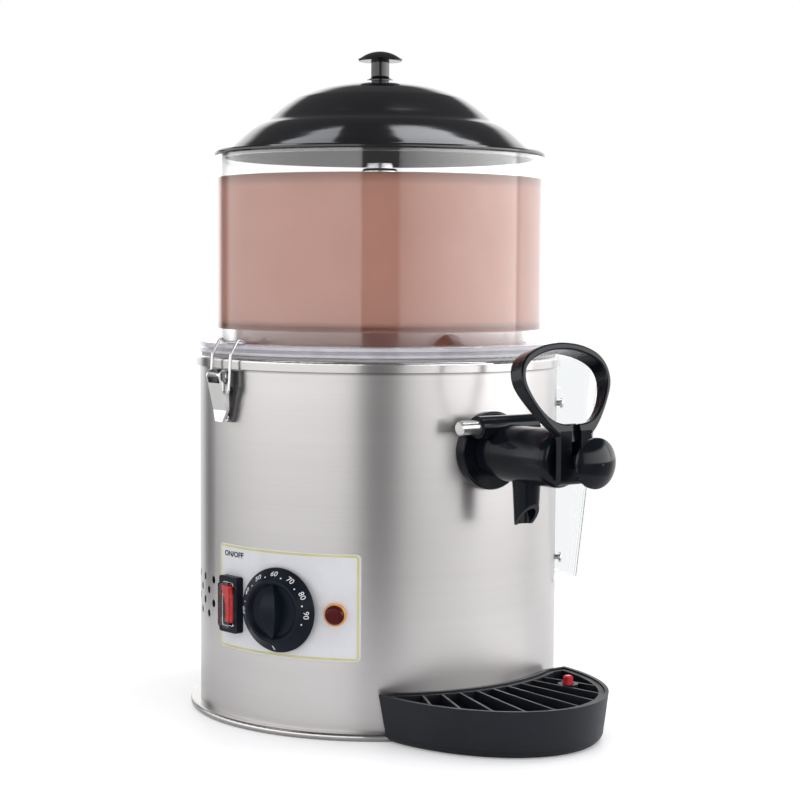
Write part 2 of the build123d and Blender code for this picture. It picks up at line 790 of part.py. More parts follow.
def drive_shaft():
    """Steel shaft from the gearbox up through the bath and the bowl's column."""
    return post(SHAFT_R, SHAFT_LOW, SHAFT_TOP)


def stirrer():
    """Sleeve over the bowl's column with two pitched sweeps and two upright wings."""
    bore = COLUMN_R + SLEEVE_PLAY
    solid = turned([
        (bore, SLEEVE_LOW),
        (SLEEVE_R + 3, SLEEVE_LOW),
        (SLEEVE_R, SLEEVE_LOW + BLADE_H + 3),
        (SLEEVE_R, SLEEVE_TOP, 2),
        (SHAFT_R + FIT, SLEEVE_TOP),
        (SHAFT_R + FIT, COLUMN_TOP + SLEEVE_PLAY),
        (bore, COLUMN_TOP + SLEEVE_PLAY),
    ])
    middle = SLEEVE_LOW + BLADE_H / 2
    sweep_arm = Pos(0, (BLADE_R + SLEEVE_R) / 2, middle) * Rot(0, BLADE_PITCH, 0) * Box(
        BLADE_T, BLADE_R - SLEEVE_R, BLADE_H)
    wing = Pos(0, WING_R, 0) * extrude(RectangleRounded(BLADE_T, WING_W, 1.5), WING_TOP - middle)
    wing = Pos(0, 0, middle) * wing
    for angle in (90, 270):
        solid += around(angle, sweep_arm + wing)
    return solid - post(bore, SLEEVE_LOW - BLADE_H, COLUMN_TOP)


def stirrer_cap():
    """Knurled cap nut that fixes the stirrer on the shaft."""
    solid = turned([
        (0, SLEEVE_TOP),
        (CAP_NUT_R, SLEEVE_TOP),
        (CAP_NUT_R, SLEEVE_TOP + CAP_NUT_H, 2),
        (0, SLEEVE_TOP + CAP_NUT_H),
    ])
    return solid - post(SHAFT_R + FIT, SLEEVE_TOP, SHAFT_TOP + FIT)


def motor_screw_places():
    return [polar(45 + 90 * i, MOTOR_SCREW_CIRCLE) for i in range(4)]


def motor_bracket():
    """Round plate on four posts under the tank that carries the gear motor."""
    top = BRACKET_Z + BRACKET_T
    solid = post(BRACKET_R, BRACKET_Z, top)
    for i in range(4):
        solid += post(POST_R, top, TANK_FLOOR, *polar(90 * i, POST_CIRCLE))
    solid -= post(2 * SHAFT_R, BRACKET_Z, top)
    for x, y in motor_screw_places():
        solid -= post(MOTOR_SCREW_R + FIT, BRACKET_Z, top, x, y)
    return solid


def motor_screws():
    """Screws that hang the gearbox from the bracket."""
    top = BRACKET_Z + BRACKET_T
    low = BRACKET_Z - 4 * MOTOR_SCREW_R
    screws = []
    for x, y in motor_screw_places():
        head = post(2 * MOTOR_SCREW_R, top, top + MOTOR_SCREW_R, x, y)
        screws.append(head + post(MOTOR_SCREW_R, low, top, x, y))
    return Compound(screws)


def gearbox():
    """Round reduction gearbox under the bracket."""
    low = BRACKET_Z - GEARBOX_H
    solid = turned([
        (0, low),
        (GEARBOX_R, low, 2),
        (GEARBOX_R, BRACKET_Z, 2),
        (0, BRACKET_Z),
    ])
    solid -= post(SHAFT_R + RUN, SHAFT_LOW - GAP, BRACKET_Z)
    for x, y in motor_screw_places():
        solid -= post(MOTOR_SCREW_R, BRACKET_Z - 4 * MOTOR_SCREW_R - FIT, BRACKET_Z, x, y)
    return solid


def motor():
    """Can motor hanging from the gearbox."""
    top = BRACKET_Z - GEARBOX_H
    solid = turned([
        (0, top - MOTOR_H),
        (MOTOR_R, top - MOTOR_H, 4),
        (MOTOR_R, top),
        (0, top),
    ])
    return solid - post(SHAFT_R + RUN, SHAFT_LOW - GAP, top)


# Tap


def outlet_sleeve():
    """Rubber tube that seals the outlet between the bath's wall and the body."""
    outer = SPIGOT_R + GAP + SLEEVE_WALL
    tube = along_y(outer, TANK_R - 5, BODY_R, TAP_Z) - along_y(SPIGOT_R + GAP, NECK_R, BASE_R, TAP_Z)
    return tube & ring(BODY_R - SHEET - FIT, TANK_R + FIT, 0, RIM_TOP)


def outlet_spigot():
    """Outlet pipe screwed into the bowl's stub, with the round flange that shows on the body."""
    shoulder = STUB_END + GAP
    pipe = turned_out([
        (SPIGOT_BORE, shoulder - NOSE_LENGTH),
        (NOSE_R, shoulder - NOSE_LENGTH),
        (NOSE_R, shoulder),
        (SPIGOT_R, shoulder),
        (SPIGOT_R, SPIGOT_END, 0.8),
        (SPIGOT_BORE, SPIGOT_END),
    ], TAP_Z)
    flange = turned_out([
        (SPIGOT_R - 1, BODY_R - WALL_FLANGE_T),
        (WALL_FLANGE_R, BODY_R - WALL_FLANGE_T),
        (WALL_FLANGE_R, BODY_R + WALL_FLANGE_T, 1.5),
        (SPIGOT_R - 1, BODY_R + WALL_FLANGE_T),
    ], TAP_Z)
    solid = pipe + (flange - inside(BODY_R + FIT))
    groove = along_x(PIN_R + GAP, -BOSS_HALF, BOSS_HALF, PIN_OUT, TAP_Z + PIN_RISE)
    return solid - groove


def spout():
    """Tapered spout, full, from the barrel's axis down to its tip."""
    height = TAP_Z - SPOUT_TIP_Z
    outer = Pos(0, -SPOUT_OUT, SPOUT_TIP_Z) * Cone(SPOUT_R_TIP, SPOUT_R_TOP, height, align=UP)
    return outer


def spout_bore():
    height = TAP_Z - SPOUT_TIP_Z
    tip = SPOUT_R_TIP - SPOUT_WALL
    top = SPOUT_R_TOP - SPOUT_WALL
    return Pos(0, -SPOUT_OUT, SPOUT_TIP_Z) * Cone(tip, top, height, align=UP)


def spout_cut():
    """Wedge that cuts the spout's end obliquely, open towards the front."""
    rise = SPOUT_FRONT_Z - SPOUT_TIP_Z
    run = SPOUT_R_TIP + SPOUT_FLAT
    start = SPOUT_OUT - SPOUT_FLAT
    return side_slab([
        (start, SPOUT_TIP_Z),
        (start, SPOUT_TIP_Z - rise),
        (start + 3 * run, SPOUT_TIP_Z - rise),
        (start + 3 * run, SPOUT_TIP_Z + 3 * rise),
    ], 2 * SPOUT_R_TOP)


def tap_body():
    """Tap casting: socket, valve seat, spring barrel, spout and the boss of the cross pin."""
    start = BODY_R + WALL_FLANGE_T + GAP
    solid = turned_out([
        (0, start),
        (COLLAR_R, start, 1),
        (COLLAR_R, BARREL_START),
        (BARREL_R, BARREL_START, 1),
        (BARREL_R, BARREL_END, 0.4),
        (0, BARREL_END),
    ], TAP_Z)
    solid += along_x(BOSS_R, -BOSS_HALF, BOSS_HALF, PIN_OUT, TAP_Z + PIN_RISE)
    solid += spout() - spout_cut()
    bores = [along_y(SOCKET_R, start - 1, SEAT_START, TAP_Z)]
    bores.append(along_y(SEAT_R, SEAT_START - 1, SEAT_END + 1, TAP_Z))
    bores.append(along_y(CHAMBER_R, SEAT_END, BARREL_END + 1, TAP_Z))
    bores.append(spout_bore())
    bores.append(along_x(PIN_R + RUN, -2 * BOSS_HALF, 2 * BOSS_HALF, PIN_OUT, TAP_Z + PIN_RISE))
    return solid - bores


def tap_pin():
    """Polished cross pin that locks the tap on the spigot."""
    pin = along_x(PIN_R, -PIN_LEFT, PIN_RIGHT, PIN_OUT, TAP_Z + PIN_RISE)
    return chamfer(pin.edges().filter_by(GeomType.CIRCLE), PIN_CHAMFER)


def tap_cap():
    """Screwed front cap with a rounded end that guides the plunger's rod and backs its spring."""
    plug_r = CHAMBER_R - FIT
    return turned_out([
        (ROD_R + RUN, CAP_END - CAP_END_T),
        (plug_r - CAP_WALL, CAP_END - CAP_END_T),
        (plug_r - CAP_WALL, BARREL_END - CAP_PLUG),
        (plug_r, BARREL_END - CAP_PLUG),
        (plug_r, BARREL_END + FIT),
        (CAP_FLANGE_R, BARREL_END + FIT),
        (CAP_FLANGE_R, CAP_END, CAP_ROUND),
        (CAP_RECESS_R, CAP_END),
        (CAP_RECESS_R, CAP_END - CAP_RECESS),
        (ROD_R + RUN, CAP_END - CAP_RECESS),
    ], TAP_Z)


def tap_plunger():
    """Valve head, guide piston and rod in one piece."""
    piston_r = CHAMBER_R - GAP
    groove = PISTON_OUT + (PISTON_T - PISTON_GROOVE) / 2
    return turned_out([
        (0, HEAD_START),
        (HEAD_R, HEAD_START),
        (HEAD_R, HEAD_START + HEAD_T),
        (ROD_R, HEAD_START + HEAD_T),
        (ROD_R, PISTON_OUT),
        (piston_r, PISTON_OUT),
        (piston_r, groove),
        (piston_r - PISTON_GROOVE_DEPTH, groove),
        (piston_r - PISTON_GROOVE_DEPTH, groove + PISTON_GROOVE),
        (piston_r, groove + PISTON_GROOVE),
        (piston_r, PISTON_OUT + PISTON_T),
        (ROD_R, PISTON_OUT + PISTON_T),
        (ROD_R, ROD_END),
        (0, ROD_END),
    ], TAP_Z)


def valve_seal():
    """Rubber disc that closes the valve seat."""
    return along_y(HEAD_R, SEAT_END + FIT, HEAD_START - FIT, TAP_Z)


def piston_seal():
    """Rubber ring in the piston's groove."""
    groove = PISTON_OUT + (PISTON_T - PISTON_GROOVE) / 2
    inner = CHAMBER_R - GAP - PISTON_GROOVE_DEPTH + RUN
    return turned_out([
        (inner, groove + RUN),
        (CHAMBER_R - FIT, groove + RUN),
        (CHAMBER_R - FIT, groove + PISTON_GROOVE - RUN),
        (inner, groove + PISTON_GROOVE - RUN),
    ], TAP_Z)


def tap_spring():
    """Compression spring between the piston and the cap."""
    start = PISTON_OUT + PISTON_T + SPRING_WIRE + FIT
    length = CAP_END - CAP_END_T - SPRING_WIRE - FIT - start
    path = Helix(length / SPRING_TURNS, length, SPRING_R)
    wire = sweep(Plane(path @ 0, z_dir=path % 0) * Circle(SPRING_WIRE), path=path)
    return Pos(0, -start, TAP_Z) * Rot(90, 0, 0) * wire


def mirrored_face(points):
    """Face bounded by a smooth curve through the points and by its mirror image."""
    left = [(-x, y) for x, y in points]
    edges = [Spline(*points), Spline(*left)]
    if points[0][0] > 0:
        edges.append(Line(left[0], points[0]))
    return make_face(edges)


def handle_loop():
    """Band of the handle, leaning back from the hub's top and deeper the higher it gets."""
    lean = math.radians(LOOP_LEAN)
    plane = Plane(
        origin=(0, -HUB_FRONT, LOOP_BASE_Z),
        x_dir=(1, 0, 0),
        z_dir=(0, -math.cos(lean), math.sin(lean)),
    )
    flare = math.tan(math.radians(LOOP_FLARE))
    top = LOOP_OUTER[-1][1]
    deepest = LOOP_DEPTH + top * flare
    band = extrude(plane * (mirrored_face(LOOP_OUTER) - mirrored_face(LOOP_INNER)), -deepest)
    far = 2 * top
    rear = make_face(Polyline(
        (LOOP_DEPTH - far * flare, -far),
        (LOOP_DEPTH + far * flare, far),
        (LOOP_DEPTH + far, far),
        (LOOP_DEPTH + far, -far),
        close=True,
    ))
    side = Plane(origin=plane.origin, x_dir=-plane.z_dir, z_dir=(1, 0, 0))
    band -= extrude(side * rear, far, both=True)
    rims = band.faces().filter_by(GeomType.PLANE).edges()
    return fillet(rims, LOOP_ROUND)


def tap_handle():
    """Loop handle: the hub tips on its rounded heel and draws the plunger out by its ball."""
    core = side_slab([
        (HUB_BACK, HUB_LOW, HEEL_R),
        (HUB_FRONT, HUB_LOW, 4),
        (HUB_FRONT, LOOP_BASE_Z),
        (HUB_BACK, LOOP_BASE_Z),
    ], HUB_CORE_HALF)
    plate = side_slab([
        (HUB_FRONT - HUB_PLATE_T, HUB_LOW, 1),
        (HUB_FRONT, HUB_LOW, 3),
        (HUB_FRONT, HUB_HIGH),
        (HUB_FRONT - HUB_PLATE_T, HUB_HIGH),
    ], HUB_HALF)
    solid = core + plate + handle_loop()
    middle = (TAP_Z + SLOT_TOP) / 2
    slot = Pos(0, -HUB_FRONT, middle) * Box(2 * SLOT_HALF, 4 * HUB_DEPTH, SLOT_TOP - TAP_Z)
    cap_room = block(2 * HUB_HALF, 0, HUB_BACK, 0, TAP_Z + CAP_FLANGE_R + 1)
    rod_hole = along_y(SLOT_HALF, BARREL_END, BALL_START + HUB_DEPTH, TAP_Z)
    return solid - slot - rod_hole - cap_room


def tap_ball():
    """Domed end knob on the rod, whose round nose bears on the handle."""
    rear = BALL_START + BALL_NECK
    front = rear + BALL_DOME
    rise = BALL_DOME - BALL_EDGE
    dome_r = (BALL_R ** 2 + rise ** 2) / (2 * rise)
    half = math.asin(BALL_R / dome_r) / 2
    middle = (dome_r * math.sin(half), front - dome_r * (1 - math.cos(half)))
    profile = make_face([
        Line((0, front), (0, rear)),
        Line((0, rear), (BALL_R, rear)),
        Line((BALL_R, rear), (BALL_R, rear + BALL_EDGE)),
        ThreePointArc((BALL_R, rear + BALL_EDGE), middle, (0, front)),
    ])
    head = revolve(Plane.XZ * profile, Axis.Z)
    head = fillet(head.edges().filter_by(GeomType.CIRCLE).sort_by(SortBy.RADIUS)[-2:], BALL_ROUND / 2)
    head = Pos(0, 0, TAP_Z) * Rot(90, 0, 0) * head
    neck = turned_out([
        (0, BALL_START),
        (BALL_NOSE_R, BALL_START, BALL_NOSE_R - FIT),
        (BALL_NOSE_R, rear + BALL_EDGE),
        (0, rear + BALL_EDGE),
    ], TAP_Z)
    return head + neck - along_y(ROD_R + FIT, BALL_START - 1, ROD_END + FIT, TAP_Z)


# Drip tray


def tray_face(inset):
    """Plan of the tray drawn in by inset: half an ellipse, hollowed to fit the round body."""
    half = TRAY_HALF - inset
    reach = TRAY_FRONT - TRAY_WIDEST - inset
    plan = Pos(TRAY_X, -TRAY_WIDEST) * Rot(0, 0, 90) * Ellipse(reach, half)
    plan -= Pos(0, 2 * reach - TRAY_BACK - inset) * Rectangle(4 * half, 4 * reach)
    return plan - Circle(TRAY_RADIUS + inset)


def drip_tray():
    """Black tray that stands in front of the body, with a rebate for its grille."""
    solid = loft([tray_face(TRAY_DRAFT), Pos(0, 0, TRAY_H) * tray_face(0)], ruled=True)
    foot = solid.faces().sort_by(Axis.Z)[0].edges()
    inner = TRAY_RADIUS + 2 * TRAY_DRAFT
    solid = fillet([edge for edge in foot if (edge @ 0.5).length > inner], TRAY_ROUND)
    clearance = BASE_R + TRAY_PLAY
    step = BASE_H + TRAY_PLAY
    room = extrude(tray_face(TRAY_WALL + TRAY_DRAFT), TRAY_H)
    rebate = extrude(tray_face(TRAY_WALL), TRAY_H)
    solid -= post(clearance, -1, step)
    solid -= Pos(0, 0, TRAY_FLOOR) * (room - inside(clearance + TRAY_WALL))
    solid -= Pos(0, 0, step + TRAY_WALL) * room
    return solid - Pos(0, 0, GRILLE_LOW) * rebate


def slat(i):
    """One thin slat of the fan, from the body's side outwards."""
    step = i - (SLAT_COUNT - 1) / 2
    x, y = polar(step * SLAT_PITCH, BODY_R)
    length = TRAY_FRONT - BODY_R + TRAY_WALL
    blade = block(SLAT_T / 2, -TRAY_WALL, length, GRILLE_LOW + FIT, GRILLE_TOP)
    return Pos(x, y, 0) * around(SLAT_LEAN + step * SLAT_FAN, blade)


def drip_grille():
    """Lift-out grille: a frame with a fan of thin slats and a ring for the float."""
    frame = TRAY_WALL + GAP
    field = extrude(tray_face(frame + GRILLE_FRAME / 2), GRILLE_TOP)
    border = tray_face(frame) - tray_face(frame + GRILLE_FRAME)
    solid = Pos(0, 0, GRILLE_LOW + FIT) * extrude(border, GRILLE_H - FIT)
    for i in range(SLAT_COUNT):
        solid += slat(i) & field
    hole = FLOAT_SIDE / math.sqrt(2) + GAP
    solid += post(hole + FLOAT_RING, GRILLE_LOW + FIT, GRILLE_TOP, FLOAT_X, -FLOAT_OUT)
    return solid - post(hole, GRILLE_LOW - 1, GRILLE_TOP + 1, FLOAT_X, -FLOAT_OUT)


def tray_float():
    """Red level float: a square stem on a round float body."""
    stem = Pos(0, 0, TRAY_FLOOR) * extrude(
        RectangleRounded(FLOAT_SIDE, FLOAT_SIDE, 1), FLOAT_TOP - TRAY_FLOOR)
    stem = chamfer(stem.faces().sort_by(Axis.Z)[-1].edges(), 1)
    base = post(FLOAT_BASE_R, TRAY_FLOOR + GAP, TRAY_FLOOR + FLOAT_BASE_H)
    solid = stem + base - post(FLOAT_BASE_R, 0, TRAY_FLOOR + GAP)
    return Pos(FLOAT_X, -FLOAT_OUT, 0) * solid


# Draw latches


def latch_plate():
    """Riveted back plate with two ears for the lever's pivot."""
    shape = outline([
        (-PLATE_HALF, PLATE_HIGH),
        (-PLATE_HALF, PLATE_KNEE),
        (-PLATE_HALF_LOW, PLATE_LOW),
        (PLATE_HALF_LOW, PLATE_LOW),
        (PLATE_HALF, PLATE_KNEE),
        (PLATE_HALF, PLATE_HIGH),
    ])
    solid = front_slab(shape, BODY_R - PLATE_T, PLATE_OUT)
    ear_in = LEVER_HALF + GAP
    ears = side_slab([
        (BODY_R, EAR_LOW - 2),
        (PLATE_OUT, EAR_LOW - 2),
        (EAR_OUT, PIVOT_Z - EAR_ROUND, EAR_ROUND),
        (EAR_OUT, PLATE_HIGH, EAR_ROUND),
        (BODY_R, PLATE_HIGH),
    ], ear_in + EAR_T)
    solid += ears - block(ear_in, PLATE_OUT, EAR_OUT + 1, EAR_LOW - 5, PLATE_HIGH + 1)
    solid -= inside(BODY_R + FIT)
    solid -= along_x(PIVOT_R + RUN, -PLATE_HALF, PLATE_HALF, PIVOT_OUT, PIVOT_Z)
    for z in RIVET_HEIGHTS:
        solid -= along_y(RIVET_R + FIT, TANK_R, EAR_OUT, z)
    return solid


def latch_pin():
    """Pivot pin of a lever, held in the plate's ears."""
    half = LEVER_HALF + GAP + EAR_T
    return along_x(PIVOT_R, -half, half, PIVOT_OUT, PIVOT_Z)


def latch_rivets_at(angle):
    """Round-head rivets of one back plate."""
    rivets = []
    for z in RIVET_HEIGHTS:
        shank = along_y(RIVET_R, BODY_R - SHEET - RIVET_HEAD_H, PLATE_OUT + FIT, z)
        head = turned_out([
            (0, PLATE_OUT),
            (RIVET_HEAD_R, PLATE_OUT),
            (RIVET_HEAD_R, PLATE_OUT + RIVET_HEAD_H, RIVET_HEAD_H - FIT),
            (0, PLATE_OUT + RIVET_HEAD_H),
        ], z)
        tail = along_y(RIVET_HEAD_R, BODY_R - SHEET - RIVET_HEAD_H, BODY_R - SHEET - FIT, z)
        rivets.append(around(angle, shank + head + tail))
    return rivets


def taper_face(half, half_low):
    """Front view of the lever, narrowing below its knee."""
    return outline([
        (-half, LEVER_TOP),
        (-half, LEVER_KNEE),
        (-half_low, LEVER_LOW),
        (half_low, LEVER_LOW),
        (half, LEVER_KNEE),
        (half, LEVER_TOP),
    ])


def lever_side(wall):
    """Side view of the lever, its outer faces drawn in by wall and its back left open."""
    back = LEVER_BACK - wall
    return [
        (back, LEVER_TOP - wall),
        (LEVER_OUT_TOP - wall, LEVER_TOP - wall, LEVER_ROUND - wall),
        (LEVER_OUT_KNEE - wall, LEVER_KNEE),
        (LEVER_OUT_LOW - wall, LEVER_LOW + wall),
        (back + 1.2, LEVER_LOW + wall),
        (back, PIVOT_Z - 2 * BAIL_DROP),
    ]


def latch_lever():
    """Pressed channel lever, open towards the body, with a window in front of its pivot."""
    reach = (LEVER_BACK - SHEET, LEVER_OUT_TOP + 1)
    solid = side_slab(lever_side(0), LEVER_HALF)
    solid = solid & front_slab(taper_face(LEVER_HALF, LEVER_HALF_LOW), *reach)
    hollow = side_slab(lever_side(LEVER_T), LEVER_HALF)
    inner = taper_face(LEVER_HALF - LEVER_T, LEVER_HALF_LOW - LEVER_T)
    solid -= hollow & front_slab(inner, reach[0] - LEVER_T, reach[1])
    solid -= block(LEVER_HALF - LEVER_T, *reach, LEVER_FACE_TOP, LEVER_TOP + 1)
    solid -= along_x(PIVOT_R + RUN, -PLATE_HALF, PLATE_HALF, PIVOT_OUT, PIVOT_Z)
    return solid - along_x(WIRE_R + RUN, -PLATE_HALF, PLATE_HALF, PIVOT_OUT, BAIL_Z)


def latch_bail():
    """Bent wire loop from the lever's sides up over the bowl's flange."""
    half = [
        (STUB_X, -PIVOT_OUT, BAIL_Z),
        (LEG_X, -PIVOT_OUT, BAIL_Z),
        (LEG_X, -LEG_OUT, LEG_Z),
        (LEG_X, -HOOK_OUT, FLANGE_TOP + HOOK_RISE),
        (LEG_X, -BAR_OUT, CROSSBAR_Z),
    ]
    mirrored = [(-x, y, z) for x, y, z in reversed(half)]
    path = FilletPolyline(*half, *mirrored, radius=WIRE_BEND)
    return sweep(Plane(path @ 0, z_dir=path % 0) * Circle(WIRE_R), path=path)


# Water gauge


def gauge_screw_angles():
    """Angles of the gauge's screws, on both sides of its middle."""
    swing = math.degrees(math.asin(GAUGE_SCREW_X / BODY_R))
    return [GAUGE_ANGLE - swing, GAUGE_ANGLE + swing]


def gauge_loft(inset, low):
    """Wedge between two rounded rectangles, wider out at the top."""
    sections = []
    for out, z in ((GAUGE_OUT_LOW, low), (GAUGE_OUT_TOP, GAUGE_TOP)):
        depth = out - inset - GAUGE_BACK
        plan = RectangleRounded(2 * (GAUGE_HALF - inset), depth, GAUGE_CORNER - inset)
        sections.append(Pos(0, -GAUGE_BACK - depth / 2, z) * plan)
    return loft(sections, ruled=True)


def water_gauge():
    """Clear pocket, open at the top, through which the bath is filled and its level read."""
    tab = ring(BODY_R + FIT + TAB_T, BODY_R + FIT, TAB_LOW, TAB_TOP)
    tab = tab & block(TAB_HALF, GAUGE_BACK, GAUGE_OUT_TOP, TAB_LOW, TAB_TOP)
    solid = gauge_loft(0, GAUGE_LOW) + tab
    solid -= gauge_loft(GAUGE_WALL, GAUGE_LOW + GAUGE_WALL)
    solid -= post(RIM_R + FIT, RIM_TOP - RIM_DROP - FIT, BOWL_TOP)
    solid = around(GAUGE_ANGLE, solid - inside(BODY_R + FIT))
    for angle in gauge_screw_angles():
        for z in GAUGE_SCREW_HEIGHTS:
            solid -= around(angle, along_y(GAUGE_SCREW_R + FIT, TANK_R, GAUGE_OUT_LOW, z))
    return solid


def gauge_screws():
    """Pan-head screws of the gauge's two side tabs."""
    seat = BODY_R + FIT + TAB_T
    screws = []
    for angle in gauge_screw_angles():
        for z in GAUGE_SCREW_HEIGHTS:
            head = turned_out([
                (0, seat),
                (GAUGE_SCREW_HEAD, seat),
                (GAUGE_SCREW_HEAD, seat + GAUGE_SCREW_HEAD_H, 1.2),
                (0, seat + GAUGE_SCREW_HEAD_H),
            ], z)
            shank = along_y(GAUGE_SCREW_R, BODY_R - 3 * GAUGE_SCREW_R, seat, z)
            screws.append(around(angle, head + shank))
    return Compound(screws)


def gauge_pipe():
    """Short pipe that joins the gauge to the bath."""
    tube = along_y(PIPE_R, TANK_R, BODY_R, PIPE_Z) - along_y(PIPE_R - PIPE_WALL, NECK_R, BASE_R, PIPE_Z)
    return around(GAUGE_ANGLE, tube & ring(BODY_R, TANK_R + FIT, 0, RIM_TOP))


# Control panel


def control_plate():
    """Curved printed plate with holes for the switch, the thermostat and the lamp."""
    height = PANEL_HIGH - PANEL_LOW
    middle = (PANEL_HIGH + PANEL_LOW) / 2
    face = Pos(0, middle) * RectangleRounded(2 * PANEL_HALF, height, PANEL_CORNER)
    patch = around(PANEL_ANGLE, front_slab(face, BODY_R / 2, BASE_R))
    solid = ring(PANEL_R, BODY_R + FIT, PANEL_LOW, PANEL_HIGH) & patch
    solid -= around(SWITCH_ANGLE, switch_block(GAP, TANK_R, BASE_R))
    solid -= around(KNOB_ANGLE, along_y(THERMO_BUSH_R + FIT, TANK_R, BASE_R, KNOB_Z))
    return solid - around(LAMP_ANGLE, along_y(LAMP_BODY_R + FIT, TANK_R, BASE_R, LAMP_Z))


def switch_block(play, back, front):
    """Rectangular body of the switch, grown by play."""
    half_h = WINDOW_H / 2 - GAP
    half_w = WINDOW_W / 2 - GAP
    return block(half_w + play, back, front, SWITCH_Z - half_h - play, SWITCH_Z + half_h + play)


def switch_body():
    """Switch behind the panel, with its two rows of blades."""
    solid = switch_block(0, SWITCH_BACK, SWITCH_FRONT)
    for z in (SWITCH_Z - WINDOW_H / 4, SWITCH_Z + WINDOW_H / 4):
        solid += block(WINDOW_W / 4, SWITCH_BACK - 8, SWITCH_BACK, z - 0.4, z + 0.4)
    return around(SWITCH_ANGLE, solid)


def switch_bezel():
    """Black frame round the switch, standing off the curved plate."""
    low = SWITCH_Z - BEZEL_H / 2
    frame = block(BEZEL_W / 2, PANEL_R - PANEL_T, BEZEL_OUT, low, low + BEZEL_H)
    frame = fillet(frame.edges().filter_by(Axis.Y), 2)
    window_low = SWITCH_Z - WINDOW_H / 2
    frame -= block(WINDOW_W / 2, TANK_R, BASE_R, window_low, window_low + WINDOW_H)
    frame -= inside(PANEL_R + FIT)
    frame -= along_x(ROCKER_PIN_R + RUN, -BEZEL_W / 2 + 1, BEZEL_W / 2 - 1, ROCKER_OUT, SWITCH_Z)
    return around(SWITCH_ANGLE, frame)


def switch_rocker():
    """Red rocker on its cross pin, resting tipped to one side."""
    half_w = WINDOW_W / 2 - GAP
    paddle = side_slab([
        (ROCKER_REAR, SWITCH_Z - ROCKER_REACH / 2),
        (ROCKER_OUT, SWITCH_Z - ROCKER_REACH),
        (ROCKER_TIP, SWITCH_Z - ROCKER_REACH, 1),
        (ROCKER_DIP, SWITCH_Z),
        (ROCKER_TIP, SWITCH_Z + ROCKER_REACH, 1),
        (ROCKER_OUT, SWITCH_Z + ROCKER_REACH),
        (ROCKER_REAR, SWITCH_Z + ROCKER_REACH / 2),
    ], half_w)
    reach = BEZEL_W / 2 - 1 - GAP
    paddle += along_x(ROCKER_PIN_R, -reach, reach, ROCKER_OUT, SWITCH_Z)
    pivot = Pos(0, -ROCKER_OUT, SWITCH_Z)
    tipped = pivot * Rot(ROCKER_TILT, 0, 0) * Pos(0, ROCKER_OUT, -SWITCH_Z) * paddle
    return around(SWITCH_ANGLE, tipped)


def switch_cover():
    """Clear splash cap over the rocker."""
    low = SWITCH_Z - COVER_H / 2
    inner_low = low + COVER_WALL
    start = BEZEL_OUT
    cap = block(COVER_W / 2, start, COVER_OUT, low, low + COVER_H)
    cap = fillet(cap.edges().filter_by(Axis.Y), COVER_ROUND)
    room = block(COVER_W / 2 - COVER_WALL, start, COVER_OUT - COVER_WALL, inner_low, low + COVER_H - COVER_WALL)
    room = fillet(room.edges().filter_by(Axis.Y), COVER_ROUND - COVER_WALL)
    return around(SWITCH_ANGLE, cap - room)


def grip_face():
    """Lens-shaped grip of the dial, upright."""
    low = (0, KNOB_Z - GRIP_HALF)
    high = (0, KNOB_Z + GRIP_HALF)
    return make_face([
        ThreePointArc(low, (GRIP_BULGE, KNOB_Z), high),
        ThreePointArc(high, (-GRIP_BULGE, KNOB_Z), low),
    ])


def thermostat_knob():
    """Dial: a sloping numbered skirt, a dished middle and an arched lens-shaped grip."""
    solid = turned_out([
        (0, SKIRT_BACK),
        (SKIRT_R, SKIRT_BACK, 0.6),
        (SKIRT_R, SKIRT_BACK + SKIRT_EDGE, 0.6),
        (DIAL_R, DIAL_FRONT, 1),
        (DIAL_R - DIAL_LIP, DIAL_FRONT),
        (DISH_R, DIAL_FRONT - DISH_DEPTH),
        (0, DIAL_FRONT - DISH_DEPTH),
    ], KNOB_Z)
    rise = GRIP_FRONT - GRIP_TIP
    arch_r = (GRIP_HALF ** 2 + rise ** 2) / (2 * rise)
    grip = front_slab(grip_face(), SKIRT_BACK + SKIRT_EDGE, GRIP_FRONT)
    grip = grip & along_x(arch_r, -DIAL_R, DIAL_R, GRIP_FRONT - arch_r, KNOB_Z)
    solid += grip
    solid -= along_y(THERMO_NUT_R + 1, SKIRT_BACK - 1, SKIRT_BACK + NUT_ROOM, KNOB_Z)
    solid -= along_y(SPINDLE_R + FIT, SKIRT_BACK, SPINDLE_TIP + FIT, KNOB_Z)
    return around(KNOB_ANGLE, solid)


def thermostat_spindle():
    """Spindle that the dial turns."""
    return around(KNOB_ANGLE, along_y(SPINDLE_R, THERMO_FRONT - SPINDLE_DEPTH, SPINDLE_TIP, KNOB_Z))


def thermostat():
    """Thermostat behind the panel, with its threaded neck through the body."""
    half = THERMO_SIDE / 2
    solid = block(half, THERMO_BACK, THERMO_FRONT, KNOB_Z - half, KNOB_Z + half)
    solid = fillet(solid.edges().filter_by(Axis.Y), 3)
    solid += along_y(THERMO_BUSH_R, THERMO_FRONT - 1, PANEL_R + 4, KNOB_Z)
    return around(KNOB_ANGLE, solid - along_y(SPINDLE_R + RUN, THERMO_FRONT - SPINDLE_DEPTH - GAP, BASE_R, KNOB_Z))


def thermostat_nut():
    """Nut that clamps the thermostat's neck to the panel."""
    nut = hexagon(THERMO_NUT_R, PANEL_R - PANEL_T, PANEL_R + THERMO_NUT_H, KNOB_Z)
    nut -= along_y(THERMO_BUSH_R + FIT, TANK_R, BASE_R, KNOB_Z)
    return around(KNOB_ANGLE, nut - inside(PANEL_R + FIT))


def panel_nuts():
    """Nuts of the thermostat, the lamp and the cable gland."""
    return Compound([thermostat_nut(), lamp_nut(), gland_nut()])


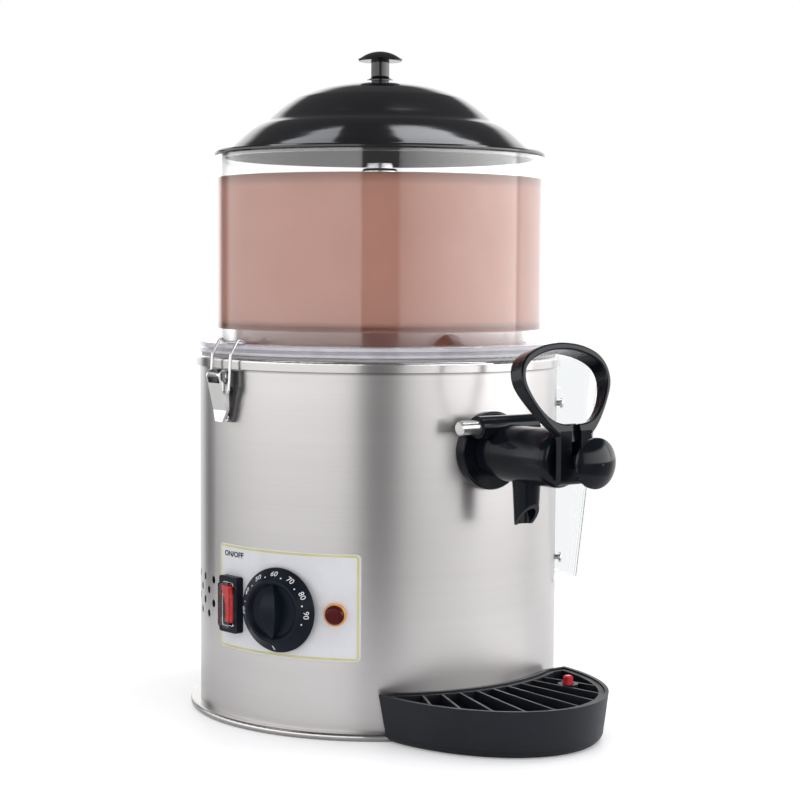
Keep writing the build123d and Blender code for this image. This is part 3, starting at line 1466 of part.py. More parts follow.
def lamp_body():
    """Pilot lamp's barrel through the panel with its round collar."""
    collar = turned_out([
        (LAMP_LENS_R + FIT, PANEL_R - PANEL_T),
        (LAMP_BEZEL_R, PANEL_R - PANEL_T),
        (LAMP_BEZEL_R, LAMP_OUT, 0.8),
        (LAMP_LENS_R + FIT, LAMP_OUT),
    ], LAMP_Z)
    collar -= inside(PANEL_R + FIT)
    barrel = along_y(LAMP_BODY_R, LAMP_BACK, PANEL_R + 1, LAMP_Z)
    rim = along_y(LAMP_BEZEL_R - 1, PANEL_R + 0.4, PANEL_R + 1, LAMP_Z)
    return around(LAMP_ANGLE, collar + barrel + rim)


def lamp_lens():
    """Domed lens of the pilot lamp."""
    seat = PANEL_R + 1 + FIT
    lens = turned_out([
        (0, seat),
        (LAMP_LENS_R, seat),
        (LAMP_LENS_R, LAMP_OUT + LAMP_DOME, LAMP_DOME),
        (0, LAMP_OUT + LAMP_DOME),
    ], LAMP_Z)
    return around(LAMP_ANGLE, lens)


def lamp_nut():
    """Nut that holds the lamp from inside the body."""
    seat = BODY_R - SHEET - FIT
    nut = hexagon(LAMP_BEZEL_R + 1, seat - 4.5, seat + 1, LAMP_Z)
    nut -= along_y(LAMP_BODY_R + FIT, LAMP_BACK, BASE_R, LAMP_Z)
    return around(LAMP_ANGLE, nut & inside(seat))


# Mains inlet


def cord_gland():
    """Gland at the back, where the lead comes in."""
    solid = turned_out([
        (GLAND_BORE, BODY_R - GLAND_DEPTH),
        (GLAND_R, BODY_R - GLAND_DEPTH),
        (GLAND_R, BODY_R),
        (GLAND_NUT_R, BODY_R),
        (GLAND_NUT_R, GLAND_OUT - 7, 1),
        (GLAND_NUT_R - 3, GLAND_OUT, 2),
        (GLAND_BORE, GLAND_OUT),
    ], GLAND_Z)
    outside = ring(2 * BODY_R, BODY_R + FIT, 0, 2 * GLAND_Z)
    return around(180, (solid & outside) + along_y_tube())


def along_y_tube():
    """Threaded tail of the gland through the body."""
    tail = along_y(GLAND_R, BODY_R - GLAND_DEPTH, BODY_R + 2, GLAND_Z)
    return tail - along_y(GLAND_BORE, TANK_R - GLAND_DEPTH, GLAND_OUT, GLAND_Z)


def gland_nut():
    """Lock nut of the gland inside the body."""
    seat = BODY_R - SHEET - FIT
    nut = hexagon(GLAND_NUT_R + 1, seat - 6, seat + 1, GLAND_Z)
    nut -= along_y(GLAND_R + FIT, TANK_R - GLAND_DEPTH, BASE_R, GLAND_Z)
    return around(180, nut & inside(seat))


def terminal_block():
    """Terminal strip on the base plate, where the wiring meets the lead."""
    low = BASE_PLATE_T
    solid = Pos(0, TERMINAL_Y, low) * Box(TERMINAL_W, TERMINAL_D, TERMINAL_H, align=UP)
    ways = 4
    pitch = TERMINAL_W / ways
    for i in range(ways):
        x = (i - (ways - 1) / 2) * pitch
        solid -= post(pitch / 4, low + TERMINAL_H / 2, low + TERMINAL_H, x, TERMINAL_Y)
    return solid


def main():
    left, right = -LATCH_ANGLE, LATCH_ANGLE
    nodes = {
        "base_ring": base_ring(),
        "base_plate": base_plate(),
        "base_screws": base_screws(),
        "body_shell": body_shell(),
        "water_tank": water_tank(),
        "shaft_bush": shaft_bush(),
        "heating_element": heating_element(),
        "element_nuts": element_nuts(),
        "water_probe": water_probe(),
        "thermostat_bulb": thermostat_bulb(),
        "bowl": bowl(),
        "bowl_gasket": bowl_gasket(),
        "lid": lid(),
        "lid_knob": lid_knob(),
        "lid_knob_screw": lid_knob_screw(),
        "drive_shaft": drive_shaft(),
        "stirrer": stirrer(),
        "stirrer_cap": stirrer_cap(),
        "motor_bracket": motor_bracket(),
        "motor_screws": motor_screws(),
        "gearbox": gearbox(),
        "motor": motor(),
        "outlet_sleeve": outlet_sleeve(),
        "outlet_spigot": outlet_spigot(),
        "tap_body": tap_body(),
        "tap_pin": tap_pin(),
        "tap_cap": tap_cap(),
        "tap_plunger": tap_plunger(),
        "valve_seal": valve_seal(),
        "piston_seal": piston_seal(),
        "tap_spring": tap_spring(),
        "tap_handle": tap_handle(),
        "tap_ball": tap_ball(),
        "drip_tray": drip_tray(),
        "drip_grille": drip_grille(),
        "tray_float": tray_float(),
        "left_latch_plate": around(left, latch_plate()),
        "left_latch_lever": around(left, latch_lever()),
        "left_latch_bail": around(left, latch_bail()),
        "right_latch_plate": around(right, latch_plate()),
        "right_latch_lever": around(right, latch_lever()),
        "right_latch_bail": around(right, latch_bail()),
        "latch_pins": Compound([around(angle, latch_pin()) for angle in (left, right)]),
        "latch_rivets": Compound(latch_rivets_at(left) + latch_rivets_at(right)),
        "water_gauge": water_gauge(),
        "gauge_screws": gauge_screws(),
        "gauge_pipe": gauge_pipe(),
        "control_plate": control_plate(),
        "switch_body": switch_body(),
        "switch_bezel": switch_bezel(),
        "switch_rocker": switch_rocker(),
        "switch_cover": switch_cover(),
        "thermostat_knob": thermostat_knob(),
        "thermostat_spindle": thermostat_spindle(),
        "thermostat": thermostat(),
        "panel_nuts": panel_nuts(),
        "lamp_body": lamp_body(),
        "lamp_lens": lamp_lens(),
        "cord_gland": cord_gland(),
        "terminal_block": terminal_block(),
    }
    os.makedirs("parts", exist_ok=True)
    for name, shape in nodes.items():
        export_step(shape, f"parts/{name}.step")


main()
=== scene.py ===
# %% [markdown]
# # A hot chocolate dispenser
# The machine stands on a table: a brushed steel drum, a clear bowl of drink on top, a black lid,
# a lever tap with a drip tray in front and a small control plate at the side.
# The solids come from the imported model. This lesson gives them their finishes, adds the drink, the
# printed marks and a few softer forms, and sets up a small photo studio around them.

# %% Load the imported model
import json
import math
import bpy
import numpy as np
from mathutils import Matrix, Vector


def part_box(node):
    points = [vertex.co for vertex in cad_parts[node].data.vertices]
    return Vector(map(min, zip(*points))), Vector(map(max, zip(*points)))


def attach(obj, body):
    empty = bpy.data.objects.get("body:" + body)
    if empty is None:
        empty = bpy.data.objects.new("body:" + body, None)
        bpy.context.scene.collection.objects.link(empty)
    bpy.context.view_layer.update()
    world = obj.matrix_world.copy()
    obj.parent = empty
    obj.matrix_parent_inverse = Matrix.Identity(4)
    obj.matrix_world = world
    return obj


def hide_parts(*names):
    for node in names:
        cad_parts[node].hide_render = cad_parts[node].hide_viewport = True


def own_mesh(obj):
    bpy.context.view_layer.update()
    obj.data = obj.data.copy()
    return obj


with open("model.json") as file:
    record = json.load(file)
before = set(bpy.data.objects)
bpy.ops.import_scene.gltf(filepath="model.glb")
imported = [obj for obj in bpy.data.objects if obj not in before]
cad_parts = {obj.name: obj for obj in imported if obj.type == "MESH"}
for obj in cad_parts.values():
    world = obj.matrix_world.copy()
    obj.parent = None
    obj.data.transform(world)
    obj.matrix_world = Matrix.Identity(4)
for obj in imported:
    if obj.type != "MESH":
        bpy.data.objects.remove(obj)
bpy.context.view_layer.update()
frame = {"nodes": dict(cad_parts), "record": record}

# %% [markdown]
# ## The camera
# The photograph was taken from a little over a metre away, a little above the middle of the machine.
# A camera can be aimed with a Track To constraint. Here its three axes are worked out as vectors,
# so the small turn, tip and roll of the hand-held view stay plain numbers.

# %% View
VIEW_AZIMUTH = math.radians(-35.5)
VIEW_DISTANCE, VIEW_HEIGHT = 1.3778, 0.3089
VIEW_YAW, VIEW_PITCH, VIEW_ROLL = 0.011, math.radians(3.9), math.radians(0.3)
UPWARD = np.array([0.0, 0.0, 1.0])


def level_axes(angle):
    """Two level unit vectors for an angle round the machine's axis.

    Outward is (sine, minus cosine), and its right hand, as seen from outside, is (cosine, sine)."""
    sine, cosine = math.sin(angle), math.cos(angle)
    return np.array([sine, -cosine, 0.0]), np.array([cosine, sine, 0.0])


TO_CAMERA, TO_RIGHT = level_axes(VIEW_AZIMUTH)
print("towards the camera", TO_CAMERA.round(3).tolist(), "and to its right", TO_RIGHT.round(3).tolist())

# %% Camera
SENSOR_WIDTH = 36.0
FOCAL_SHARE = 1934.24 / 800  # focal length over picture width, both in pixels
NEAREST, FARTHEST = 0.05, 50.0


def aim_camera(name):
    """Camera on a circle round the machine.

    Forward points at the machine's axis, turned aside by the yaw and tipped down by the pitch. Right
    is square to forward and to the vertical, up is square to both, and the roll turns these two."""
    level = -TO_CAMERA * math.cos(VIEW_YAW) + TO_RIGHT * math.sin(VIEW_YAW)
    forward = level * math.cos(VIEW_PITCH) - UPWARD * math.sin(VIEW_PITCH)
    right = np.cross(forward, UPWARD)
    right /= np.linalg.norm(right)
    up = np.cross(right, forward)
    place = np.eye(4)
    place[:3, 0] = right * math.cos(VIEW_ROLL) + up * math.sin(VIEW_ROLL)
    place[:3, 1] = up * math.cos(VIEW_ROLL) - right * math.sin(VIEW_ROLL)
    place[:3, 2] = -forward
    place[:3, 3] = TO_CAMERA * VIEW_DISTANCE + UPWARD * VIEW_HEIGHT
    data = bpy.data.cameras.new(name)
    data.sensor_width, data.sensor_fit = SENSOR_WIDTH, "HORIZONTAL"
    data.lens = SENSOR_WIDTH * FOCAL_SHARE
    data.clip_start, data.clip_end = NEAREST, FARTHEST
    made = bpy.data.objects.new(name, data)
    made.matrix_world = place.T.tolist()
    bpy.context.scene.collection.objects.link(made)
    return made


camera = aim_camera("studio_camera")
bpy.context.scene.camera = camera
camera_place = [round(v, 3) for v in camera.matrix_world.translation]
print("camera at", camera_place, "with a lens of", round(camera.data.lens, 2), "mm")

# %% [markdown]
# ## Small helpers for node trees
# Node trees are long to write by hand. One helper adds a node with its settings, three more wrap the
# nodes that are used most, and the last makes a group with named sockets. Groups hold only patterns
# here, and each material keeps its own shader.

# %% Node helpers
MIX_SHARE, MIX_NUMBERS, MIX_COLOURS = 0, (2, 3, 0), (6, 7, 2)


def node(tree, kind, inputs=None, **settings):
    """New node of a kind, with settings as attributes and inputs as constants or links."""
    made = tree.nodes.new(kind)
    for key, value in settings.items():
        setattr(made, key, value)
    for key, value in (inputs or {}).items():
        if isinstance(value, bpy.types.NodeSocket):
            tree.links.new(value, made.inputs[key])
        else:
            made.inputs[key].default_value = value
    return made


def math_node(tree, operation, *values, clamp=False):
    """Math node of an operation on numbers or sockets; gives its output socket."""
    inputs = dict(enumerate(values))
    return node(tree, "ShaderNodeMath", inputs, operation=operation, use_clamp=clamp).outputs[0]


def ranged(tree, value, start, end, low=0.0, high=1.0):
    """Map Range node: start to end becomes low to high and stops there; gives its output socket."""
    inputs = {"Value": value, "From Min": start, "From Max": end, "To Min": low, "To Max": high}
    return node(tree, "ShaderNodeMapRange", inputs).outputs[0]


def mix(tree, share, first, second, colours=False):
    """Mix node from first to second by a share, for numbers or colours; gives its output socket.

    A Mix node has sockets for every kind of value, so those that are wanted are taken by index."""
    a, b, result = MIX_COLOURS if colours else MIX_NUMBERS
    inputs = {MIX_SHARE: share, a: first, b: second}
    return node(tree, "ShaderNodeMix", inputs, data_type="RGBA" if colours else "FLOAT").outputs[result]


def pattern_group(name, sockets):
    """Empty group with number or vector inputs and one output, Value; gives the tree and its ends."""
    tree = bpy.data.node_groups.new(name, "ShaderNodeTree")
    for label, value in sockets.items():
        kind = "NodeSocketVector" if isinstance(value, tuple) else "NodeSocketFloat"
        socket = tree.interface.new_socket(name=label, in_out="INPUT", socket_type=kind)
        socket.default_value = value
    tree.interface.new_socket(name="Value", in_out="OUTPUT", socket_type="NodeSocketFloat")
    return tree, node(tree, "NodeGroupInput"), node(tree, "NodeGroupOutput")


print("node helpers ready")

# %% [markdown]
# ## The studio
# Two large soft lamps stand left and right of the photographer and leave a dark gap between them.
# That gap is the dark upright band in the steel and in the clear bowl. Area lamps could stand for
# them, but their edges would be hard to soften, so the world itself is painted: its brightness depends
# on the direction, once for the lamps above table height and once for the room below them.

# %% Levels of the studio
RAMP_TOP = 8.0
LAMPS = [
    (-180, 1.8), (-152, 1.8), (-144, 0.2), (-136, 0.2), (-128, 1.6), (-80, 2.8), (-13, 2.6),
    (-11.5, 0.4), (13, 0.4), (14.5, 1.8), (30, 3.0), (54, 4.3), (80, 5.2), (110, 5.2),
    (111.5, 2.4), (114, 2.4), (117, 3.0), (150, 1.8), (180, 1.8)]
ROOM = [
    (-180, 1.1), (-152, 1.0), (-143, 0.1), (-134, 0.1), (-122, 0.7), (-90, 0.78), (-60, 0.76),
    (-24, 0.72), (-13, 0.5), (-4, 0.16), (4, 0.2), (14, 0.48), (28, 0.42), (50, 0.34), (72, 0.5),
    (108, 0.66), (128, 1.2), (180, 1.1)]


def band_ramp(tree, position, stops):
    """Grey ramp over directions: each stop is (degrees right of the camera, brightness).

    A ramp holds levels up to 1, so each is stored as its share of RAMP_TOP and multiplied afterwards."""
    ramp = node(tree, "ShaderNodeValToRGB", {"Fac": position})
    ramp.color_ramp.interpolation = "LINEAR"
    points = ramp.color_ramp.elements
    while len(points) < len(stops):
        points.new(0.5)
    for point, (degrees, level) in zip(points, stops):
        share = level / RAMP_TOP
        point.position = (degrees + 180) / 360
        point.color = (share, share, share, 1)
    return math_node(tree, "MULTIPLY", ramp.outputs["Color"], RAMP_TOP)


print("studio with", len(LAMPS), "lamp stops and", len(ROOM), "room stops")

# %% World
LAMP_EDGE, CEILING_EDGE = (-0.044, -0.03), (0.42, 0.52)
CEILING_LEVEL, FILL_LEVEL, BACKDROP_LEVEL = 0.17, 0.75, 1.0
ANY_BOUNCE = 0.5  # a bounce count above this is one or more
WHITE = (1, 1, 1, 1)


def paint_studio(name):
    """World brightness from the direction.

    The azimuth, an arctangent, picks a level from each ramp. The height of the direction mixes room,
    lamps and dark ceiling. Matt surfaces get one even fill, and what the camera sees straight or
    through clear plastic is white."""
    world = bpy.data.worlds.new(name)
    world.use_nodes = True
    tree = world.node_tree
    tree.nodes.clear()
    way = node(tree, "ShaderNodeTexCoord").outputs["Generated"]
    spin = {"Vector": way, "Rotation": (0, 0, -VIEW_AZIMUTH)}
    turned = node(tree, "ShaderNodeMapping", spin, vector_type="POINT")
    parts = node(tree, "ShaderNodeSeparateXYZ", {"Vector": turned.outputs[0]}).outputs
    nearer = math_node(tree, "MULTIPLY", parts["Y"], -1.0)
    azimuth = math_node(tree, "ARCTAN2", parts["X"], nearer)
    position = math_node(tree, "MULTIPLY_ADD", azimuth, 0.5 / math.pi, 0.5)  # half turns to shares
    lamps, room = band_ramp(tree, position, LAMPS), band_ramp(tree, position, ROOM)
    walls = mix(tree, ranged(tree, parts["Z"], *LAMP_EDGE), room, lamps)
    around = mix(tree, ranged(tree, parts["Z"], *CEILING_EDGE), walls, CEILING_LEVEL)
    rays = node(tree, "ShaderNodeLightPath").outputs
    filled = mix(tree, rays["Is Diffuse Ray"], around, FILL_LEVEL)
    clear = math_node(tree, "MAXIMUM", rays["Is Camera Ray"], rays["Is Transmission Ray"])
    mirrored = math_node(tree, "GREATER_THAN", rays["Glossy Depth"], ANY_BOUNCE)
    straight = math_node(tree, "SUBTRACT", clear, mirrored, clamp=True)
    strength = mix(tree, straight, filled, BACKDROP_LEVEL)
    sky = node(tree, "ShaderNodeBackground", {"Color": WHITE, "Strength": strength})
    node(tree, "ShaderNodeOutputWorld", {"Surface": sky.outputs[0]})
    return world


bpy.context.scene.world = paint_studio("studio")
bpy.context.scene.view_settings.view_transform = "Standard"
print("world painted, ceiling at", CEILING_LEVEL, "and fill at", FILL_LEVEL)

# %% [markdown]
# ## The overhead lamp
# One broad lamp above the machine gives the soft shadow on the table. A sun lamp would give a
# shadow too, but with a hard edge, so this is a wide square. It is hidden from mirrors and glass,
# because the painted studio is what they should show.

# %% Overhead lamp
OVERHEAD_PLACE, OVERHEAD_TARGET = (-0.25, -0.45, 1.75), (0, 0, 0.2)
OVERHEAD_SIZE, OVERHEAD_POWER = 1.1, 4


def area_lamp(name, place, turn, size, power):
    """Area lamp of a size (long, wide) at a place; it shines down before it is turned."""
    data = bpy.data.lights.new(name, "AREA")
    data.shape, data.energy = "RECTANGLE", power
    data.size, data.size_y = size
    made = bpy.data.objects.new(name, data)
    made.location, made.rotation_euler = tuple(place), turn
    made.visible_transmission = False
    bpy.context.scene.collection.objects.link(made)
    return made


def turn_towards(place, target):
    """Turn that points a lamp at a target: a tip from the vertical, then a turn round it."""
    away = np.array(place) - np.array(target)
    tip = math.atan2(math.hypot(away[0], away[1]), away[2])
    return tip, 0, math.atan2(away[0], -away[1])


overhead_turn = turn_towards(OVERHEAD_PLACE, OVERHEAD_TARGET)
overhead_size = (OVERHEAD_SIZE, OVERHEAD_SIZE)
overhead = area_lamp("overhead_lamp", OVERHEAD_PLACE, overhead_turn, overhead_size, OVERHEAD_POWER)
overhead.visible_glossy = False
tip_degrees = round(math.degrees(overhead_turn[0]), 1)
print("overhead lamp", overhead.data.energy, "W, tipped by", tip_degrees, "degrees")

# %% [markdown]
# ## The strip lamps
# Two long cool lamps hang high to the left and right, and the glossy lid mirrors each as a bright
# patch. They could be painted in the world too, but light from endlessly far away is mirrored by both
# tiers of the lid alike. Near lamps can be placed so that they show most on the lower tier.

# %% Strip lamps
STRIP_WIDTH, STRIP_HEIGHT, STRIP_COLOUR = 0.36, 1.6, (0.93, 0.95, 1.0)
STRIPS = {
    "right_strip": {"place": (-0.19, 0.575), "way": (-0.42, 0.91), "length": 0.94, "radiance": 6.5},
    "left_strip": {"place": (-0.23, -0.71), "way": (-0.42, -0.91), "length": 0.75, "radiance": 4.0}}


def strip_lamp(name, place, way, length, radiance):
    """Long lamp facing down; place and way count towards the camera and to its right.

    Its power in watts is pi times its radiance times its area."""
    centre = TO_CAMERA * place[0] + TO_RIGHT * place[1] + UPWARD * STRIP_HEIGHT
    along = TO_CAMERA * way[0] + TO_RIGHT * way[1]
    power = radiance * math.pi * length * STRIP_WIDTH
    turn = (0, 0, math.atan2(along[1], along[0]))
    made = area_lamp(name, centre, turn, (length, STRIP_WIDTH), power)
    made.data.color = STRIP_COLOUR
    return made


for label, values in STRIPS.items():
    print(label, round(strip_lamp(label, **values).data.energy, 2), "W")

# %% [markdown]
# ## A mesh from a grid of points
# Apart from letters, every new piece in this lesson is a surface worked out as an array of points.
# Blender could build it with Screw or Curve objects, but an array shows its formula, so one helper
# turns any grid into quads that run round a closed section.

# %% Grid helper
def full_turn(count):
    """Angles of a full turn in equal steps, the last one step short of the first."""
    return np.linspace(0, 2 * np.pi, count, endpoint=False)


def piece_from(name, points, faces, smooth):
    """New object at the origin from an array of points and a list of faces."""
    mesh = bpy.data.meshes.new(name)
    mesh.from_pydata(points.tolist(), [], faces)
    mesh.polygons.foreach_set("use_smooth", np.full(len(faces), smooth))
    mesh.update()
    made = bpy.data.objects.new(name, mesh)
    bpy.context.scene.collection.objects.link(made)
    return made


def grid_mesh(name, points, close_rows=False, flip=False, capped=False, smooth=True):
    """Quads over a grid of points (rows, columns, 3): point (i, k) joins (i + 1, k) and (i, k + 1).

    Columns run round and close. Rows close where asked, or a cap shuts the first and the last one."""
    rows, turns = points.shape[:2]
    i, k = np.meshgrid(np.arange(rows if close_rows else rows - 1), np.arange(turns), indexing="ij")
    i2, k2 = (i + 1) % rows, (k + 1) % turns
    quads = np.stack([i * turns + k, i2 * turns + k, i2 * turns + k2, i * turns + k2], -1).reshape(-1, 4)
    caps = np.stack([np.arange(turns), rows * turns - 1 - np.arange(turns)])
    if flip:
        quads, caps = quads[:, ::-1], caps[:, ::-1]
    faces = quads.tolist() + (caps.tolist() if capped else [])
    return piece_from(name, points.reshape(-1, 3), faces, smooth)


print("grid helper ready")

# %% [markdown]
# ## The table
# The table is a round pale disc. It could be lit to white, but then the machine would be too bright,
# so the table adds a little light of its own. Only the camera and rays through clear plastic see
# that light. It is kept from mirrors, so the steel isn't washed out from below.

# %% Table
TABLE_R, TABLE_MIDDLE, TABLE_RINGS, TABLE_TURNS = 0.5, 0.001, 24, 96
TABLE_LOOK = {"Base Color": (0.82, 0.82, 0.83, 1), "Roughness": 0.5, "Specular IOR Level": 0.3}
TABLE_GLOW = 0.2


def disc_grid(radius):
    """Round table top: point (i, k) lies at share i of the radius and share k of a turn.

    The shares start a hair above 0, so no quad collapses at the middle."""
    shares = np.linspace(TABLE_MIDDLE, 1, TABLE_RINGS)
    share, turn = np.meshgrid(shares, full_turn(TABLE_TURNS), indexing="ij")
    flat = np.zeros_like(share)
    return np.stack([radius * share * np.cos(turn), radius * share * np.sin(turn), flat], -1)


def paint_table(name):
    """White table: a matt shader, plus light of its own for camera rays and rays through plastic."""
    made = bpy.data.materials.new(name)
    made.use_nodes = True
    tree = made.node_tree
    tree.nodes.clear()
    rays = node(tree, "ShaderNodeLightPath").outputs
    seen = math_node(tree, "MAXIMUM", rays["Is Camera Ray"], rays["Is Transmission Ray"])
    own = math_node(tree, "MULTIPLY", seen, TABLE_GLOW)
    matt = node(tree, "ShaderNodeBsdfPrincipled", TABLE_LOOK)
    glow = node(tree, "ShaderNodeEmission", {"Color": WHITE, "Strength": own})
    both = node(tree, "ShaderNodeAddShader", {0: matt.outputs[0], 1: glow.outputs[0]})
    node(tree, "ShaderNodeOutputMaterial", {"Surface": both.outputs[0]})
    return made


table = grid_mesh("table", disc_grid(TABLE_R))
table.data.materials.append(paint_table("white_table"))
print("table", len(table.data.polygons), "quads")

# %% [markdown]
# ## Patterns that several finishes share
# Brushed steel has fine lines along the way it was rubbed. A noise that is stretched two hundred
# times along one or two axes gives such lines, and it needs no seam or unwrapping.
# Moulded plastic has a fine grain, everything that is touched has broad faint smudges, and a belt
# picks out the part of a piece that lies between two heights.

# %% Noises
NOISE_ROUGHNESS = 0.6


def stretched_noise(tree, scale, detail):
    """Noise on the object's own coordinates, each multiplied by its own scale."""
    place = node(tree, "ShaderNodeTexCoord").outputs["Object"]
    spread = node(tree, "ShaderNodeVectorMath", {0: place, 1: scale}, operation="MULTIPLY").outputs[0]
    look = {"Vector": spread, "Scale": 1.0, "Detail": detail, "Roughness": NOISE_ROUGHNESS}
    return node(tree, "ShaderNodeTexNoise", look).outputs["Fac"]


def even_noise(tree, scale, detail):
    """Noise with the same scale along all three axes."""
    every = node(tree, "ShaderNodeCombineXYZ", {0: scale, 1: scale, 2: scale})
    return stretched_noise(tree, every.outputs[0], detail)


print("noises ready, roughness", NOISE_ROUGHNESS)

# %% Pattern groups
AROUND = {"Lines": (7.0, 7.0, 1500.0), "Streaks": (3.0, 3.0, 160.0)}
UPRIGHT = {"Lines": (1500.0, 1500.0, 7.0), "Streaks": (160.0, 160.0, 3.0)}
LINE_SHARE, LINE_DETAIL, STREAK_SHARE, STREAK_DETAIL = 0.6, 3.0, 0.4, 2.0
GRAIN_DETAIL, CLOUD_DETAIL, CLOUD_MIDDLE = 2.0, 4.0, (0.35, 0.68)


def make_brushing():
    """Brushing: fine lines and slower streaks, each with a scale of its own, added to one value."""
    tree, start, end = pattern_group("brushing", AROUND)
    fine = stretched_noise(tree, start.outputs["Lines"], LINE_DETAIL)
    broad = stretched_noise(tree, start.outputs["Streaks"], STREAK_DETAIL)
    lines = math_node(tree, "MULTIPLY", fine, LINE_SHARE)
    streaks = math_node(tree, "MULTIPLY", broad, STREAK_SHARE)
    tree.links.new(math_node(tree, "ADD", lines, streaks), end.inputs["Value"])
    return tree


def make_grain():
    """Grain: fine even noise, for the bump of moulded plastic."""
    tree, start, end = pattern_group("grain", {"Fineness": 1800.0})
    grain = even_noise(tree, start.outputs["Fineness"], GRAIN_DETAIL)
    tree.links.new(grain, end.inputs["Value"])
    return tree


def make_smudge():
    """Smudge: broad cloudy noise with its middle range spread out, from 0 to 1."""
    tree, start, end = pattern_group("smudge", {"Fineness": 22.0})
    cloud = even_noise(tree, start.outputs["Fineness"], CLOUD_DETAIL)
    tree.links.new(ranged(tree, cloud, *CLOUD_MIDDLE), end.inputs["Value"])
    return tree


def make_belt():
    """Belt: 1 between two heights of the object and 0 elsewhere, with soft edges inside them."""
    tree, start, end = pattern_group("belt", {"Low": 0.0, "High": 1.0, "Soft": 0.001})
    place = node(tree, "ShaderNodeTexCoord").outputs["Object"]
    height = node(tree, "ShaderNodeSeparateXYZ", {0: place}).outputs["Z"]
    low, high, soft = (start.outputs[label] for label in ("Low", "High", "Soft"))
    over = math_node(tree, "DIVIDE", math_node(tree, "SUBTRACT", height, low), soft, clamp=True)
    under = math_node(tree, "DIVIDE", math_node(tree, "SUBTRACT", high, height), soft, clamp=True)
    tree.links.new(math_node(tree, "MULTIPLY", over, under), end.inputs["Value"])
    return tree


BRUSHING, GRAIN, SMUDGE, BELT = make_brushing(), make_grain(), make_smudge(), make_belt()
print("patterns", [group.name for group in (BRUSHING, GRAIN, SMUDGE, BELT)])

# %% [markdown]
# ## One way to make a finish
# Each finish is one Principled shader. Constants sit on its own sockets, and only what changes over
# the surface comes from the patterns: a little lighter and darker colour, a little more or less
# gloss, and a fine bump. Building every material by hand would repeat the same few links.

# %% Finish helper
def finish(name, constants, tone=None, gloss=None, bump=None, shade=None):
    """Material with a Principled shader, constants on its sockets and patterns where it varies.

    tone is (group, inputs, colour, colour): the pattern mixes the two colours.
    shade is (group, inputs, colour): the tone turns into that colour where the pattern is 1.
    gloss is (group, inputs, low, high): the pattern spreads over that range of roughness.
    bump is (group, inputs, strength, metres): the pattern is the height of a fine relief."""
    made = bpy.data.materials.new(name)
    made.use_nodes = True
    tree = made.node_tree
    shader = tree.nodes["Principled BSDF"].inputs
    for key, value in constants.items():
        shader[key].default_value = value

    def pattern(group, inputs):
        """Output of a pattern group, placed in this material with its own values."""
        return node(tree, "ShaderNodeGroup", inputs, node_tree=group).outputs["Value"]

    if tone:
        group, inputs, first, second = tone
        colour = mix(tree, pattern(group, inputs), (*first, 1), (*second, 1), colours=True)
        if shade:
            group, inputs, third = shade
            colour = mix(tree, pattern(group, inputs), colour, (*third, 1), colours=True)
        tree.links.new(colour, shader["Base Color"])
    if gloss:
        group, inputs, low, high = gloss
        tree.links.new(ranged(tree, pattern(group, inputs), 0.0, 1.0, low, high), shader["Roughness"])
    if bump:
        group, inputs, strength, metres = bump
        relief = {"Height": pattern(group, inputs), "Strength": strength, "Distance": metres}
        tree.links.new(node(tree, "ShaderNodeBump", relief).outputs[0], shader["Normal"])
    return made


print("finish helper ready")

# %% Patterns with their values
def brushed(way, first, second):
    """Brushing along a way, between two colours or two roughness values."""
    return BRUSHING, way, first, second


def cloudy(fineness, first, second):
    """Smudges of a fineness, between two colours or two roughness values."""
    return SMUDGE, {"Fineness": fineness}, first, second


def belted(low, high, soft):
    """Group and inputs of a belt between two heights, with soft edges, all in metres."""
    return BELT, {"Low": low, "High": high, "Soft": soft}


def grained(fineness, strength, metres=0.0001):
    """Grain of a fineness as a bump of a strength and depth."""
    return GRAIN, {"Fineness": fineness}, strength, metres


print("pattern values ready")

# %% [markdown]
# ## Brushed steel
# The drum, its bath and the foot ring were brushed round and round, so highlights spread upwards and
# stay narrow sideways. A picture of brushed steel would need unwrapping. Here the brushing pattern
# varies tone and roughness, and the shader's anisotropy spreads the light. The drum's shell is the
# roughest, and a dark belt at its top is painted shade: the shadow line under the bath's folded rim.

# %% Brushed steel
METAL = {"Metallic": 1.0}
# heights of a painted shade belt: the shadow line under the bath's folded rim
RIM_SHADOW_BELT = (0.2388, 0.2436, 0.0022)
drum_steel = finish(
    "drum_steel", {**METAL, "Anisotropic": 0.5, "Anisotropic Rotation": 0.25},
    tone=brushed(AROUND, (0.42, 0.407, 0.405), (0.5, 0.485, 0.482)),
    gloss=brushed(AROUND, 0.16, 0.24))
shell_steel = finish(
    "shell_steel", {**METAL, "Anisotropic": 0.35, "Anisotropic Rotation": 0.25},
    tone=brushed(AROUND, (0.435, 0.42, 0.419), (0.51, 0.492, 0.49)),
    gloss=brushed(AROUND, 0.276, 0.298),
    # painted shade: a dark belt for the shadow line under the bath's folded rim
    shade=(*belted(*RIM_SHADOW_BELT), (0.12, 0.118, 0.12)))
foot_steel = finish(
    "foot_steel", METAL,
    tone=brushed(AROUND, (0.34, 0.33, 0.325), (0.42, 0.41, 0.405)),
    gloss=brushed(AROUND, 0.18, 0.28))
print("brushed steel", [steel.name for steel in (drum_steel, shell_steel, foot_steel)])
